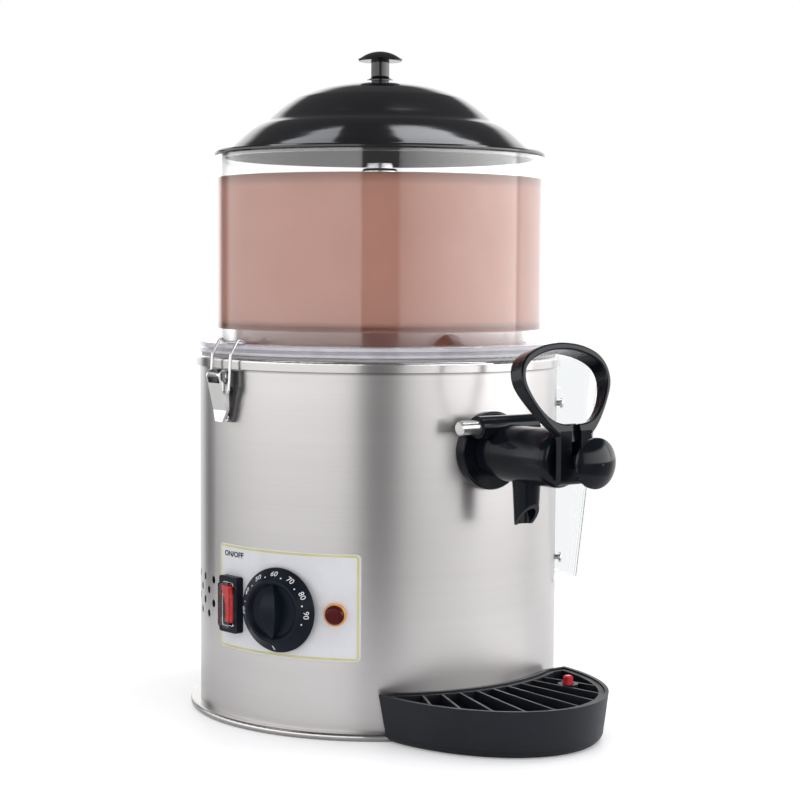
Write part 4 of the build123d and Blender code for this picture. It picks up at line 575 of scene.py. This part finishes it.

# %% [markdown]
# ## Fittings
# Latches, pins, screws and springs are small bright parts. Each could be one chrome, but side by side
# they differ: a pressed lever is brushed lengthwise, a pin is satin, a rivet is polished and a latch
# plate is dull, its dark tone a painted reflection of the dark room it mirrors. The gearbox is painted,
# and the few brass parts are turned.

# %% Fittings
latch_steel = finish(
    "latch_steel", METAL,
    tone=brushed(UPRIGHT, (0.72, 0.715, 0.71), (0.82, 0.815, 0.81)),
    gloss=cloudy(90.0, 0.16, 0.3))
chrome = finish(
    "chrome", METAL,
    tone=cloudy(60.0, (0.74, 0.74, 0.75), (0.8, 0.8, 0.81)),
    gloss=cloudy(60.0, 0.05, 0.12))
satin_steel = finish(
    "satin_steel", METAL,
    tone=cloudy(90.0, (0.6, 0.595, 0.59), (0.68, 0.675, 0.67)),
    gloss=cloudy(90.0, 0.26, 0.36))
# painted reflection: the plate's dark tone stands for the dark room that it mirrors
plate_steel_painted_dark = finish(
    "plate_steel_painted_dark", METAL,
    tone=brushed(UPRIGHT, (0.17, 0.17, 0.175), (0.24, 0.24, 0.245)),
    gloss=cloudy(90.0, 0.25, 0.4))
turned_brass = finish(
    "turned_brass", METAL,
    tone=brushed(AROUND, (0.55, 0.36, 0.12), (0.63, 0.43, 0.17)),
    gloss=brushed(AROUND, 0.25, 0.38))
casting_grey = finish(
    "casting_grey", {"Metallic": 0.0},
    tone=cloudy(30.0, (0.14, 0.15, 0.16), (0.18, 0.19, 0.2)),
    gloss=cloudy(30.0, 0.4, 0.55),
    bump=grained(900.0, 0.1, 0.0002))
fittings = (latch_steel, chrome, satin_steel, plate_steel_painted_dark, turned_brass, casting_grey)
print("fittings", [metal.name for metal in fittings])

# %% [markdown]
# ## Clear plastic and clear rubber
# The bowl and the water gauge are clear, and the bowl's gasket is milky. Mixing transparent and glossy
# shaders would be quicker to render, but full transmission bends what lies behind the wall. The bowl is
# frosted in a belt at its flange. The gauge's lower index keeps its thin walls from turning dark.

# %% Clear plastics
FROSTED_BELT = (0.249, 0.2575, 0.0008)
bowl_clear = finish(
    "bowl_clear", {"Transmission Weight": 1.0, "IOR": 1.49},
    tone=cloudy(25.0, (0.965, 0.97, 0.975), (0.975, 0.98, 0.985)),
    gloss=(*belted(*FROSTED_BELT), 0.0, 0.3))
gauge_clear = finish(
    "gauge_clear", {"Base Color": (0.96, 0.97, 0.975, 1), "Transmission Weight": 1.0, "IOR": 1.25},
    gloss=cloudy(40.0, 0.02, 0.08))
seal_clear = finish(
    "seal_clear", {"Transmission Weight": 0.6, "IOR": 1.41},
    tone=cloudy(60.0, (0.78, 0.79, 0.8), (0.84, 0.85, 0.86)),
    gloss=cloudy(60.0, 0.35, 0.5))
print("clear", [plastic.name for plastic in (bowl_clear, gauge_clear, seal_clear)])

# %% [markdown]
# ## Black plastic and black rubber
# Lid, tap, tray and dial are all black, but not alike: the lid is polished, the tap a little duller,
# the tray and the dial are grained and slightly blue. One black could be given to all, and then the
# photograph's differences in gloss would be lost, so each has its own specular level and roughness.

# %% Black plastics
lid_black = finish(
    "lid_black", {"Specular IOR Level": 0.45},
    tone=cloudy(14.0, (0.0045, 0.0045, 0.0058), (0.0065, 0.0065, 0.008)),
    gloss=cloudy(18.0, 0.08, 0.13))
tap_black = finish(
    "tap_black", {"Specular IOR Level": 0.18},
    tone=cloudy(45.0, (0.003, 0.0042, 0.0066), (0.0048, 0.006, 0.009)),
    gloss=cloudy(45.0, 0.1, 0.2),
    bump=grained(2200.0, 0.03))
tray_black = finish(
    "tray_black", {"Specular IOR Level": 0.2},
    tone=cloudy(30.0, (0.0072, 0.0086, 0.012), (0.0102, 0.012, 0.0165)),
    gloss=cloudy(30.0, 0.38, 0.5),
    bump=grained(1500.0, 0.12))
dial_black = finish(
    "dial_black", {"Specular IOR Level": 0.1},
    tone=cloudy(70.0, (0.0048, 0.0072, 0.0125), (0.0076, 0.0104, 0.0165)),
    gloss=cloudy(70.0, 0.3, 0.42),
    bump=grained(2600.0, 0.06))
seal_black = finish(
    "seal_black", {},
    tone=cloudy(60.0, (0.014, 0.014, 0.015), (0.022, 0.022, 0.024)),
    gloss=cloudy(60.0, 0.55, 0.7))
print("blacks", [black.name for black in (lid_black, tap_black, tray_black, dial_black, seal_black)])

# %% [markdown]
# ## White, red and amber
# The control plate is a pale sheet. The rocker is given a faint painted glow, while the pilot lamp is
# off and its lens is dark. A glass shader would suit rocker and lens, but so little can be seen
# through them that plain colours with a soft gloss look the same.

# %% Coloured plastics
plate_white = finish(
    "plate_white", {},
    tone=cloudy(35.0, (0.66, 0.665, 0.7), (0.72, 0.725, 0.76)),
    gloss=cloudy(35.0, 0.32, 0.42),
    bump=grained(2000.0, 0.02))
# painted glow: a faint red light of the rocker's own
ROCKER_PAINTED_GLOW = {"Emission Color": (0.6, 0.02, 0.02, 1), "Emission Strength": 0.12}
rocker_red = finish(
    "rocker_red", {"Specular IOR Level": 0.12, **ROCKER_PAINTED_GLOW},
    tone=cloudy(120.0, (0.5, 0.012, 0.014), (0.62, 0.03, 0.03)),
    gloss=cloudy(120.0, 0.18, 0.28))
lens_red = finish(
    "lens_red", {"Specular IOR Level": 0.15},
    tone=cloudy(200.0, (0.035, 0.003, 0.005), (0.09, 0.006, 0.009)),
    gloss=cloudy(200.0, 0.12, 0.2))
float_red = finish(
    "float_red", {},
    tone=cloudy(150.0, (0.5, 0.014, 0.025), (0.6, 0.03, 0.045)),
    gloss=cloudy(150.0, 0.25, 0.35))
ring_amber = finish(
    "ring_amber", {},
    tone=cloudy(200.0, (0.62, 0.26, 0.05), (0.72, 0.36, 0.09)),
    gloss=cloudy(200.0, 0.2, 0.3))
print("coloured", [paint.name for paint in (plate_white, rocker_red, lens_red, float_red, ring_amber)])

# %% [markdown]
# ## Dressing the solids
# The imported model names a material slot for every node. Choosing a finish for each of the sixty by
# hand would be long, so most nodes take the finish that belongs to their slot, and only those that
# look different on the real machine are named one by one.

# %% Assign finishes
BY_SLOT = {
    "brushed_steel": drum_steel, "bright_steel": latch_steel, "clear_plastic": bowl_clear,
    "gloss_black": tap_black, "matte_black": tray_black, "panel_white": plate_white,
    "signal_red": rocker_red, "amber_ring": ring_amber, "black_rubber": seal_black,
    "clear_rubber": seal_clear, "plain_brass": turned_brass, "grey_paint": casting_grey}
BY_NODE = {
    "body_shell": shell_steel, "base_ring": foot_steel, "lid": lid_black, "lid_knob": lid_black,
    "tap_pin": satin_steel, "gauge_screws": satin_steel, "latch_pins": chrome, "latch_rivets": chrome,
    "left_latch_bail": satin_steel, "right_latch_bail": satin_steel,
    "left_latch_plate": plate_steel_painted_dark, "right_latch_plate": plate_steel_painted_dark,
    "water_gauge": gauge_clear, "switch_cover": gauge_clear, "switch_bezel": dial_black,
    "thermostat_knob": dial_black, "lamp_lens": lens_red, "tray_float": float_red}
SLOT_OF = {row["node"]: row["material_slot"] for row in frame["record"]["subparts"]}
for label, solid in frame["nodes"].items():
    chosen = BY_NODE.get(label, BY_SLOT[SLOT_OF[label]])
    for place in solid.material_slots:
        place.material = chosen
print("dressed", len(frame["nodes"]), "nodes,", len(BY_NODE), "of them one by one")

# %% [markdown]
# ## The drink
# The bowl is full of milky chocolate almost to the brim. A solid plug of liquid would work, but the
# stirrer turns in it, so it is made as a skin: the outside follows the bowl's wall, a shelf and the
# neck, the top is a level surface that creeps up a little at the wall, and the inside stays open.
# It reaches a hair into the clear wall, so no film of air shows between the two. In the neck its
# colour is painted paler: painted light for the light that the clear plastic carries into the shaded
# neck.

# %% Drink profile
MM = 0.001
BOWL_IN, NECK_IN, SHELF_Z, WALL = 111.8, 100.0, 270.0, 3.5
LEVEL_Z, DRINK_LOW, COLUMN_CLEAR, SKIN, OVERLAP = 370.6, 200.0, 13.3, 2.0, 0.3
WALL_START, WALL_POINTS, LEVEL_START, LEVEL_POINTS = 8.0, 12, 8.0, 16
CREEP_TOP, CREEP = 0.9, [(-0.6, 0.35), (-2.0, 0.0)]


def arc(centre, radius, start, end, count=10):
    """Points of a circle arc in the (radius, height) plane, angles in degrees."""
    turn = np.radians(np.linspace(start, end, count))
    return np.stack([centre[0] + radius * np.cos(turn), centre[1] + radius * np.sin(turn)], -1)


def drink_profile():
    """Closed loop in (radius, height).

    It goes up the neck, over the shelf, up the wall, in along the level and back down inside."""
    neck = np.array([[NECK_IN + OVERLAP, DRINK_LOW], [NECK_IN + OVERLAP, SHELF_Z - WALL]])
    shelf = arc((NECK_IN + WALL, SHELF_Z - WALL), WALL - OVERLAP, 180, 90)
    corner = arc((BOWL_IN - WALL, SHELF_Z + WALL), WALL + OVERLAP, -90, 0)
    heights = np.linspace(SHELF_Z + WALL_START, LEVEL_Z + CREEP_TOP, WALL_POINTS)
    wall = np.stack([np.full(WALL_POINTS, BOWL_IN + OVERLAP), heights], -1)
    creep = np.array([BOWL_IN, LEVEL_Z]) + np.array(CREEP)
    reach = np.linspace(BOWL_IN - LEVEL_START, COLUMN_CLEAR, LEVEL_POINTS)
    level = np.stack([reach, np.full(LEVEL_POINTS, LEVEL_Z)], -1)
    inside = np.array([
        [COLUMN_CLEAR, LEVEL_Z - SKIN], [BOWL_IN - WALL, LEVEL_Z - SKIN],
        [BOWL_IN - WALL, SHELF_Z + 2 * WALL], [NECK_IN - SKIN, SHELF_Z + WALL],
        [NECK_IN - SKIN, DRINK_LOW]])
    return np.concatenate([neck, shelf, corner, wall, creep, level, inside])


print("drink profile", len(drink_profile()), "points")

# %% Drink
# the neck belt holds the heights where the drink's colour is painted paler, as painted light
DRINK_TURNS, NECK_PAINTED_LIGHT_BELT = 384, (0.2, 0.269, 0.003)


def revolve(profile, turns):
    """Profile carried round the axis: radius times cosine and sine of the turn, height kept."""
    turn = full_turn(turns)
    radius, height = profile[:, 0, None] * MM, profile[:, 1, None] * MM
    height = np.broadcast_to(height, (len(profile), turns))
    return np.stack([radius * np.cos(turn), radius * np.sin(turn), height], -1)


drink = grid_mesh("drink", revolve(drink_profile(), DRINK_TURNS), close_rows=True, flip=True)
drink.data.materials.append(finish(
    "milky_chocolate", {},
    tone=cloudy(12.0, (0.615, 0.297, 0.22), (0.665, 0.33, 0.25)),
    gloss=cloudy(60.0, 0.3, 0.45),
    # painted light: the neck's paler colour stands for light carried in by the clear plastic
    shade=(*belted(*NECK_PAINTED_LIGHT_BELT), (0.82, 0.4, 0.32))))
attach(drink, "machine")
print("drink", len(drink.data.polygons), "quads, level at", LEVEL_Z, "mm")

# %% [markdown]
# ## The pale edge of the bowl's flange, as painted light
# The clear flange is thick and grooved, and light that enters it from all sides makes it look pale.
# Tracing that light needs many bounces, so a thin pale skin on the flange stands for it: its
# profile follows the flange's edge and groove and is carried once round the axis.

# %% Flange edge
EDGE = np.array([
    (104.6, 257.0), (125.8, 257.0), (126.5, 256.4), (126.5, 254.5), (124.2, 254.3), (124.2, 252.2),
    (126.5, 252.0), (126.5, 250.4), (125.6, 249.6)])
EDGE_SINK, EDGE_LIFT = 0.15, 0.08
RIM_TURNS, RIM_CREASE = 192, math.radians(35)
edge_loop = np.concatenate([EDGE[::-1] + EDGE_LIFT, EDGE - EDGE_SINK])
flange_edge = grid_mesh("flange_edge", revolve(edge_loop, RIM_TURNS), close_rows=True, flip=True)
flange_edge.data.set_sharp_from_angle(angle=RIM_CREASE)
# painted light: a pale colour for the light scattered inside the thick clear flange
flange_edge.data.materials.append(finish(
    "flange_painted_light", {},
    tone=cloudy(60.0, (0.5, 0.485, 0.53), (0.62, 0.6, 0.65)),
    gloss=cloudy(60.0, 0.15, 0.25)))
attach(flange_edge, "machine")
print("flange edge", len(flange_edge.data.polygons), "quads")

# %% [markdown]
# ## The lid's outer form
# Seen close up, the lid is two shallow domes that run into each other with a soft crease, softer
# than the solid's. A bevel could blur the solid's edge, but the solids stay as they are, so the
# form is turned anew from measured points: round the brim, up over the skirt and the crown to the
# knob's hole, and back along the underside with its short lip.

# %% Lid form
BRIM = [(116.4, 387.3), (117, 387.9), (117, 389.0), (116.2, 390.0), (108.6, 390.0)]
CROWN = [
    (107.5, 390.5), (104.5, 393.8), (101, 397.2), (97, 400.9), (92.5, 404.7), (88, 407.8),
    (84.5, 409.6), (82, 411.0), (79, 413.3), (75, 416.7), (70, 420.8), (64, 425.2), (58, 428.7),
    (45, 433.9), (30, 437.6), (15, 439.8), (2.9, 440.4)]
UNDER = [(105.4, 387.3), (109.0, 387.3), (109.0, 385.3), (111.5, 385.3), (111.5, 387.3)]
LID_WALL, KNOB_HOLE_R, INSIDE_LOW = 1.8, 2.9, 387.5


def smooth_through(points, steps=8):
    """Curve through points, a cubic on each span.

    The slope at a point is half the way between its neighbours, and the ends go on straight."""
    points = np.array(points, float)
    grown = np.concatenate([2 * points[:1] - points[1:2], points, 2 * points[-1:] - points[-2:-1]])
    before, first, second, after = (grown[k:len(points) - 1 + k, None] for k in range(4))
    share = np.linspace(0, 1, steps, endpoint=False)[None, :, None]
    slope, bend = (second - before) / 2, (after - first) / 2
    step = second - first
    square, cube = 3 * step - 2 * slope - bend, slope + bend - 2 * step
    curve = first + share * slope + share ** 2 * square + share ** 3 * cube
    return np.concatenate([curve.reshape(-1, 2), points[-1:]])


crown = smooth_through(CROWN)
inside = np.maximum(crown[::-1] - LID_WALL, (KNOB_HOLE_R, INSIDE_LOW))
lid_loop = np.concatenate([BRIM, crown, inside, UNDER])
lid_form = grid_mesh("lid_form", revolve(lid_loop, RIM_TURNS), close_rows=True, flip=True)
lid_form.data.set_sharp_from_angle(angle=RIM_CREASE)
lid_form.data.materials.append(lid_black)
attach(lid_form, "lid")
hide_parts("lid")
print("lid", len(lid_form.data.polygons), "quads")

# %% [markdown]
# ## Printed border of the control plate
# A thin yellow-green line runs round the edge of the pale plate. It could be part of the plate's
# colour pattern, but a real printed line has a crisp edge, so it is a flat strip: a small
# rectangle carried along a rounded rectangle and then bent round the drum.

# %% Paths on the drum
PLATE_ANGLE, PLATE_HALF, PLATE_LOW, PLATE_HIGH = -66.6, 55.9, 51.7, 122.3
PLATE_R, PLATE_CORNER = 127.8, 3.0
CORNER_POINTS, PATH_STEP = 24, 2.5


def rounded_path(half, low, high, corner):
    """Closed rounded rectangle: four quarter circles joined by straight runs, cut into short steps.

    Gives its points and, for each, the outward normal (cosine and sine of the corner's turn)."""
    turn = np.radians(90 * np.arange(4)[:, None] + np.linspace(0, 90, CORNER_POINTS))
    facing = np.stack([np.cos(turn), np.sin(turn)], -1)
    across = (half - corner) * np.array([1, -1, -1, 1])
    up = np.array([high - corner, high - corner, low + corner, low + corner])
    points = (np.stack([across, up], -1)[:, None] + corner * facing).reshape(-1, 2)
    run = np.roll(points, -1, 0) - points
    pieces = np.maximum(1, np.linalg.norm(run, axis=1) // PATH_STEP).astype(int)
    first = np.repeat(np.arange(len(points)), pieces)
    share = (np.arange(len(first)) - (np.cumsum(pieces) - pieces)[first]) / pieces[first]
    return points[first] + run[first] * share[:, None], facing.reshape(-1, 2)[first]


def bend_on_drum(flat, angle, lift):
    """Flat points (across, up) on a cylinder.

    Across becomes an angle by its arcsine, and lift adds to the radius."""
    turn = np.radians(angle) + np.arcsin(flat[..., 0] / PLATE_R)
    out = PLATE_R + lift
    return np.stack([out * np.sin(turn), -out * np.cos(turn), flat[..., 1]], -1) * MM


print("plate", 2 * PLATE_HALF, "by", round(PLATE_HIGH - PLATE_LOW, 1), "mm")

# %% Plate border
BORDER_INSET, BORDER_WIDTH, BORDER_SINK, BORDER_LIFT = 0.5, 1.5, 0.05, 0.09


def border_strip(inset, width, low, high):
    """Strip round the plate: corners (offset along the normal, lift) carried along the rounded path."""
    half, corner = PLATE_HALF - inset, PLATE_CORNER - inset
    path, facing = rounded_path(half, PLATE_LOW + inset, PLATE_HIGH - inset, corner)
    profile = np.array([[0, low], [0, high], [-width, high], [-width, low]])
    flat = path[None] + profile[:, 0][:, None, None] * facing[None]
    lift = np.broadcast_to(profile[:, 1][:, None], flat.shape[:2])
    return bend_on_drum(flat, PLATE_ANGLE, lift)


strip = border_strip(BORDER_INSET, BORDER_WIDTH, -BORDER_SINK, BORDER_LIFT)
border = grid_mesh("plate_border", strip, close_rows=True, smooth=False)
border.data.materials.append(finish(
    "border_yellow", {},
    tone=cloudy(80.0, (0.55, 0.52, 0.23), (0.62, 0.59, 0.3)),
    gloss=cloudy(80.0, 0.35, 0.45)))
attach(border, "machine")
print("border", len(border.data.polygons), "quads")

# %% [markdown]
# ## Figures on the dial
# The sloping skirt of the dial carries white figures, dots between them and one line for off.
# Text objects could be turned one by one. Here each figure becomes a flat mesh first, and all its
# points are then put on the cone at once, so it follows the slope exactly.

# %% Text to arrays
CURVE_STEPS = 4


def flat_text(words, size, thick, bolder=0.0):
    """Text as arrays: points (across, up, depth) in millimetres, centred, and its faces.

    Bolder widens every stroke by that much on each side."""
    data = bpy.data.curves.new("flat_text", "FONT")
    data.body, data.size, data.extrude, data.offset = words, size, thick / 2, bolder
    data.align_x, data.align_y, data.resolution_u = "CENTER", "CENTER", CURVE_STEPS
    shape = bpy.data.objects.new("flat_text", data)
    bpy.context.scene.collection.objects.link(shape)
    bpy.context.view_layer.update()
    solved = shape.evaluated_get(bpy.context.evaluated_depsgraph_get())
    mesh = bpy.data.meshes.new_from_object(solved)
    points = np.empty(len(mesh.vertices) * 3)
    mesh.vertices.foreach_get("co", points)
    points = points.reshape(-1, 3)
    points[:, :2] -= (points[:, :2].max(0) + points[:, :2].min(0)) / 2
    faces = [list(face.vertices) for face in mesh.polygons]
    bpy.data.objects.remove(shape)
    bpy.data.meshes.remove(mesh)
    return points, faces


def joined_piece(name, parts):
    """One object from several (points, faces) pairs, with the faces renumbered."""
    all_points, all_faces, count = [], [], 0
    for points, faces in parts:
        all_points.append(points)
        all_faces += [[index + count for index in face] for face in faces]
        count += len(points)
    return piece_from(name, np.concatenate(all_points), all_faces, smooth=False)


print("text helper ready")

# %% Marks on the dial's cone
DIAL_ANGLE, DIAL_Z = math.radians(-66.0), 83.2
SKIRT_FOOT, SKIRT_TOP = np.array([28.2, 130.4]), np.array([20.6, 137.6])
DOT_SIDES = 16


def on_skirt(points, clock, radius):
    """Flat points on the dial's cone: up runs outward along its slope, across runs round its axis.

    The skirt's ends are given as (radius on the dial, distance from the drum's axis)."""
    slope = (SKIRT_FOOT - SKIRT_TOP) / np.linalg.norm(SKIRT_FOOT - SKIRT_TOP)
    share = (SKIRT_FOOT[0] - radius) / (SKIRT_FOOT[0] - SKIRT_TOP[0])
    middle = SKIRT_FOOT[1] + share * (SKIRT_TOP[1] - SKIRT_FOOT[1])
    reach = radius + points[:, 1] * slope[0] - points[:, 2] * slope[1]
    out = middle + points[:, 1] * slope[1] + points[:, 2] * slope[0]
    turn = np.radians(clock) + points[:, 0] / radius
    across, up = reach * np.sin(turn), DIAL_Z + reach * np.cos(turn)
    outward, side = level_axes(DIAL_ANGLE)
    return (out[:, None] * outward + across[:, None] * side + up[:, None] * UPWARD) * MM


def small_disc(radius, thick):
    """Flat round dot with a rim: two circles of points, front and back, and their faces."""
    k = np.arange(DOT_SIDES)
    turn, after = full_turn(DOT_SIDES), (k + 1) % DOT_SIDES
    circle = np.stack([radius * np.cos(turn), radius * np.sin(turn), np.full(DOT_SIDES, thick / 2)], -1)
    sides = np.stack([k, k + DOT_SIDES, after + DOT_SIDES, after], -1).tolist()
    caps = [k.tolist(), (2 * DOT_SIDES - 1 - k).tolist()]
    return np.concatenate([circle, circle * (1, 1, -1)]), caps + sides


def small_bar(wide, tall, thick):
    """Flat bar: four corners in front, the same four behind, and the six faces between them."""
    x, y, z = wide / 2, tall / 2, thick / 2
    front = np.array([[-x, -y, z], [x, -y, z], [x, y, z], [-x, y, z]])
    faces = [[0, 1, 2, 3], [7, 6, 5, 4], [0, 4, 5, 1], [1, 5, 6, 2], [2, 6, 7, 3], [3, 7, 4, 0]]
    return np.concatenate([front, front * (1, 1, -1)]), faces


print("dial's slope from", SKIRT_FOOT.tolist(), "to", SKIRT_TOP.tolist(), "mm")

# %% Dial figures
FIGURES = {-94: "30", -63: "40", -32: "50", -1: "60", 30: "70", 61: "80", 92: "90"}
MARK_THICK, FIGURE_SIZE, FIGURE_RING = 0.3, 5.4, 24.6
DOT_R, DOT_RING, DOT_AFTER = 0.55, 22.9, 15.5
OFF_CLOCK, OFF_WIDE, OFF_TALL = 182, 0.8, 4.4
marks = []
for clock, words in FIGURES.items():
    points, faces = flat_text(words, FIGURE_SIZE, MARK_THICK)
    marks.append((on_skirt(points, clock, FIGURE_RING), faces))
for clock in FIGURES:
    points, faces = small_disc(DOT_R, MARK_THICK)
    marks.append((on_skirt(points, clock + DOT_AFTER, DOT_RING), faces))
points, faces = small_bar(OFF_WIDE, OFF_TALL, MARK_THICK)
marks.append((on_skirt(points, OFF_CLOCK, FIGURE_RING), faces))
figures = joined_piece("dial_figures", marks)
figures.data.materials.append(finish(
    "ink_white", {},
    tone=cloudy(300.0, (0.7, 0.7, 0.71), (0.8, 0.8, 0.81)),
    gloss=cloudy(300.0, 0.4, 0.5)))
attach(figures, "dial")
print("figures", len(figures.data.polygons), "faces in", len(marks), "marks")

# %% [markdown]
# ## Words over the switch
# ON and OFF are printed small over the rocker. A picture could carry them, but its edges would blur
# close up, so the same flat text is used, made a little bolder and bent round the drum.

# %% Switch words
WORDS_SIZE, WORDS_THICK, WORDS_BOLDER, WORDS_WIDE = 5.0, 0.16, 0.18, 21.0
WORDS_ANGLE, WORDS_Z, WORDS_LIFT = -85.1, 116.0, 0.02
points, faces = flat_text("ON/OFF", WORDS_SIZE, WORDS_THICK, WORDS_BOLDER)
points[:, 0] *= WORDS_WIDE / np.ptp(points[:, 0])
placed = bend_on_drum(points[:, :2] + (0.0, WORDS_Z), WORDS_ANGLE, points[:, 2] + WORDS_LIFT)
words = joined_piece("switch_words", [(placed, faces)])
words.data.materials.append(finish(
    "ink_dark", {},
    tone=cloudy(300.0, (0.012, 0.012, 0.014), (0.02, 0.02, 0.023)),
    gloss=cloudy(300.0, 0.4, 0.5)))
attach(words, "machine")
print("words", len(words.data.polygons), "faces")

# %% [markdown]
# ## A dark web in the handle's slot, for its shade
# The handle has a slot for the plunger's rod. Above the rod a thin black web is put in it: a dark sheet
# where the slot lies in shade, so no light shows between the two arms. A box would be hard-edged there,
# so a rounded strip is carried up the slot. It takes its place from the boxes of the handle and of the
# tap's front cap.

# %% Slot web
WEB_HALF, WEB_THICK, WEB_BEHIND, WEB_LEAN = 4.1, 0.8, 4.0, 0.15
WEB_BELOW, WEB_ABOVE, WEB_ROWS, WEB_SIDES = 6.7, 4.4, 12, 32
WEB_CREASE = math.radians(50)


def slot_shade_web(front, top):
    """Strip in the slot: a rounded flat section carried up a leaning line.

    The section's half sizes are multiplied by signed square roots of cosine and sine of a turn."""
    turn = full_turn(WEB_SIDES)
    across, depth = (np.sign(wave) * np.sqrt(np.abs(wave)) for wave in (np.cos(turn), np.sin(turn)))
    rise = np.linspace(0, WEB_BELOW + WEB_ABOVE, WEB_ROWS)[:, None]
    x = np.broadcast_to(WEB_HALF * across, (WEB_ROWS, WEB_SIDES))
    y = front + WEB_BEHIND + WEB_LEAN * rise + WEB_THICK * depth
    z = np.broadcast_to(top - WEB_BELOW + rise, (WEB_ROWS, WEB_SIDES))
    return np.stack([x, y, z], -1) * MM


handle_front, cap_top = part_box("tap_handle")[0][1] / MM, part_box("tap_cap")[1][2] / MM
# painted shade: a dark sheet that closes the slot where it lies in shade
shade_web = grid_mesh("slot_shade_web", slot_shade_web(handle_front, cap_top), flip=True, capped=True)
shade_web.data.set_sharp_from_angle(angle=WEB_CREASE)
shade_web.data.materials.append(tap_black)
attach(shade_web, "handle")
print("shade_web", len(shade_web.data.polygons), "faces, front of the handle at", round(handle_front, 2), "mm")

# %% [markdown]
# ## The spring inside the tap
# A coil spring closes the tap, and it gets shorter when the plunger is drawn out. The coil is made
# anew as a small circle carried along a helix, in the place that the solid's box gives, and it keeps
# the solid's length.

# %% Tap spring
WIRE_R, COIL_TURNS, PLUNGER_TRAVEL = 0.0007, 4, 0.0083
COIL_STEPS, WIRE_SIDES = 40, 12


def coil(low, high):
    """Spring along y: a helix is the middle line, and the wire's circle stands square to it.

    The circle is spanned by the way out from the axis and the way across that and the helix."""
    share = np.linspace(0, 1, COIL_TURNS * COIL_STEPS + 1)
    turn = 2 * np.pi * COIL_TURNS * share
    outward = np.stack([np.cos(turn), np.zeros_like(turn), np.sin(turn)], -1)
    radius = (high[0] - low[0]) / 2 - WIRE_R
    middle = (low + high) / 2 * np.array([1, 0, 1]) + radius * outward
    middle[:, 1] = high[1] - WIRE_R - share * (high[1] - low[1] - 2 * WIRE_R)
    forward = np.gradient(middle, axis=0)
    across = np.cross(forward / np.linalg.norm(forward, axis=1, keepdims=True), outward)
    around = full_turn(WIRE_SIDES)[None, :, None]
    circle = np.cos(around) * outward[:, None] + np.sin(around) * across[:, None]
    return middle[:, None] + WIRE_R * circle


low, high = (np.array(corner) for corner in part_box("tap_spring"))
spring = grid_mesh("spring_coil", coil(low, high), flip=True, capped=True)
spring.data.materials.append(satin_steel)
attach(spring, "machine")
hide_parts("tap_spring")
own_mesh(spring)
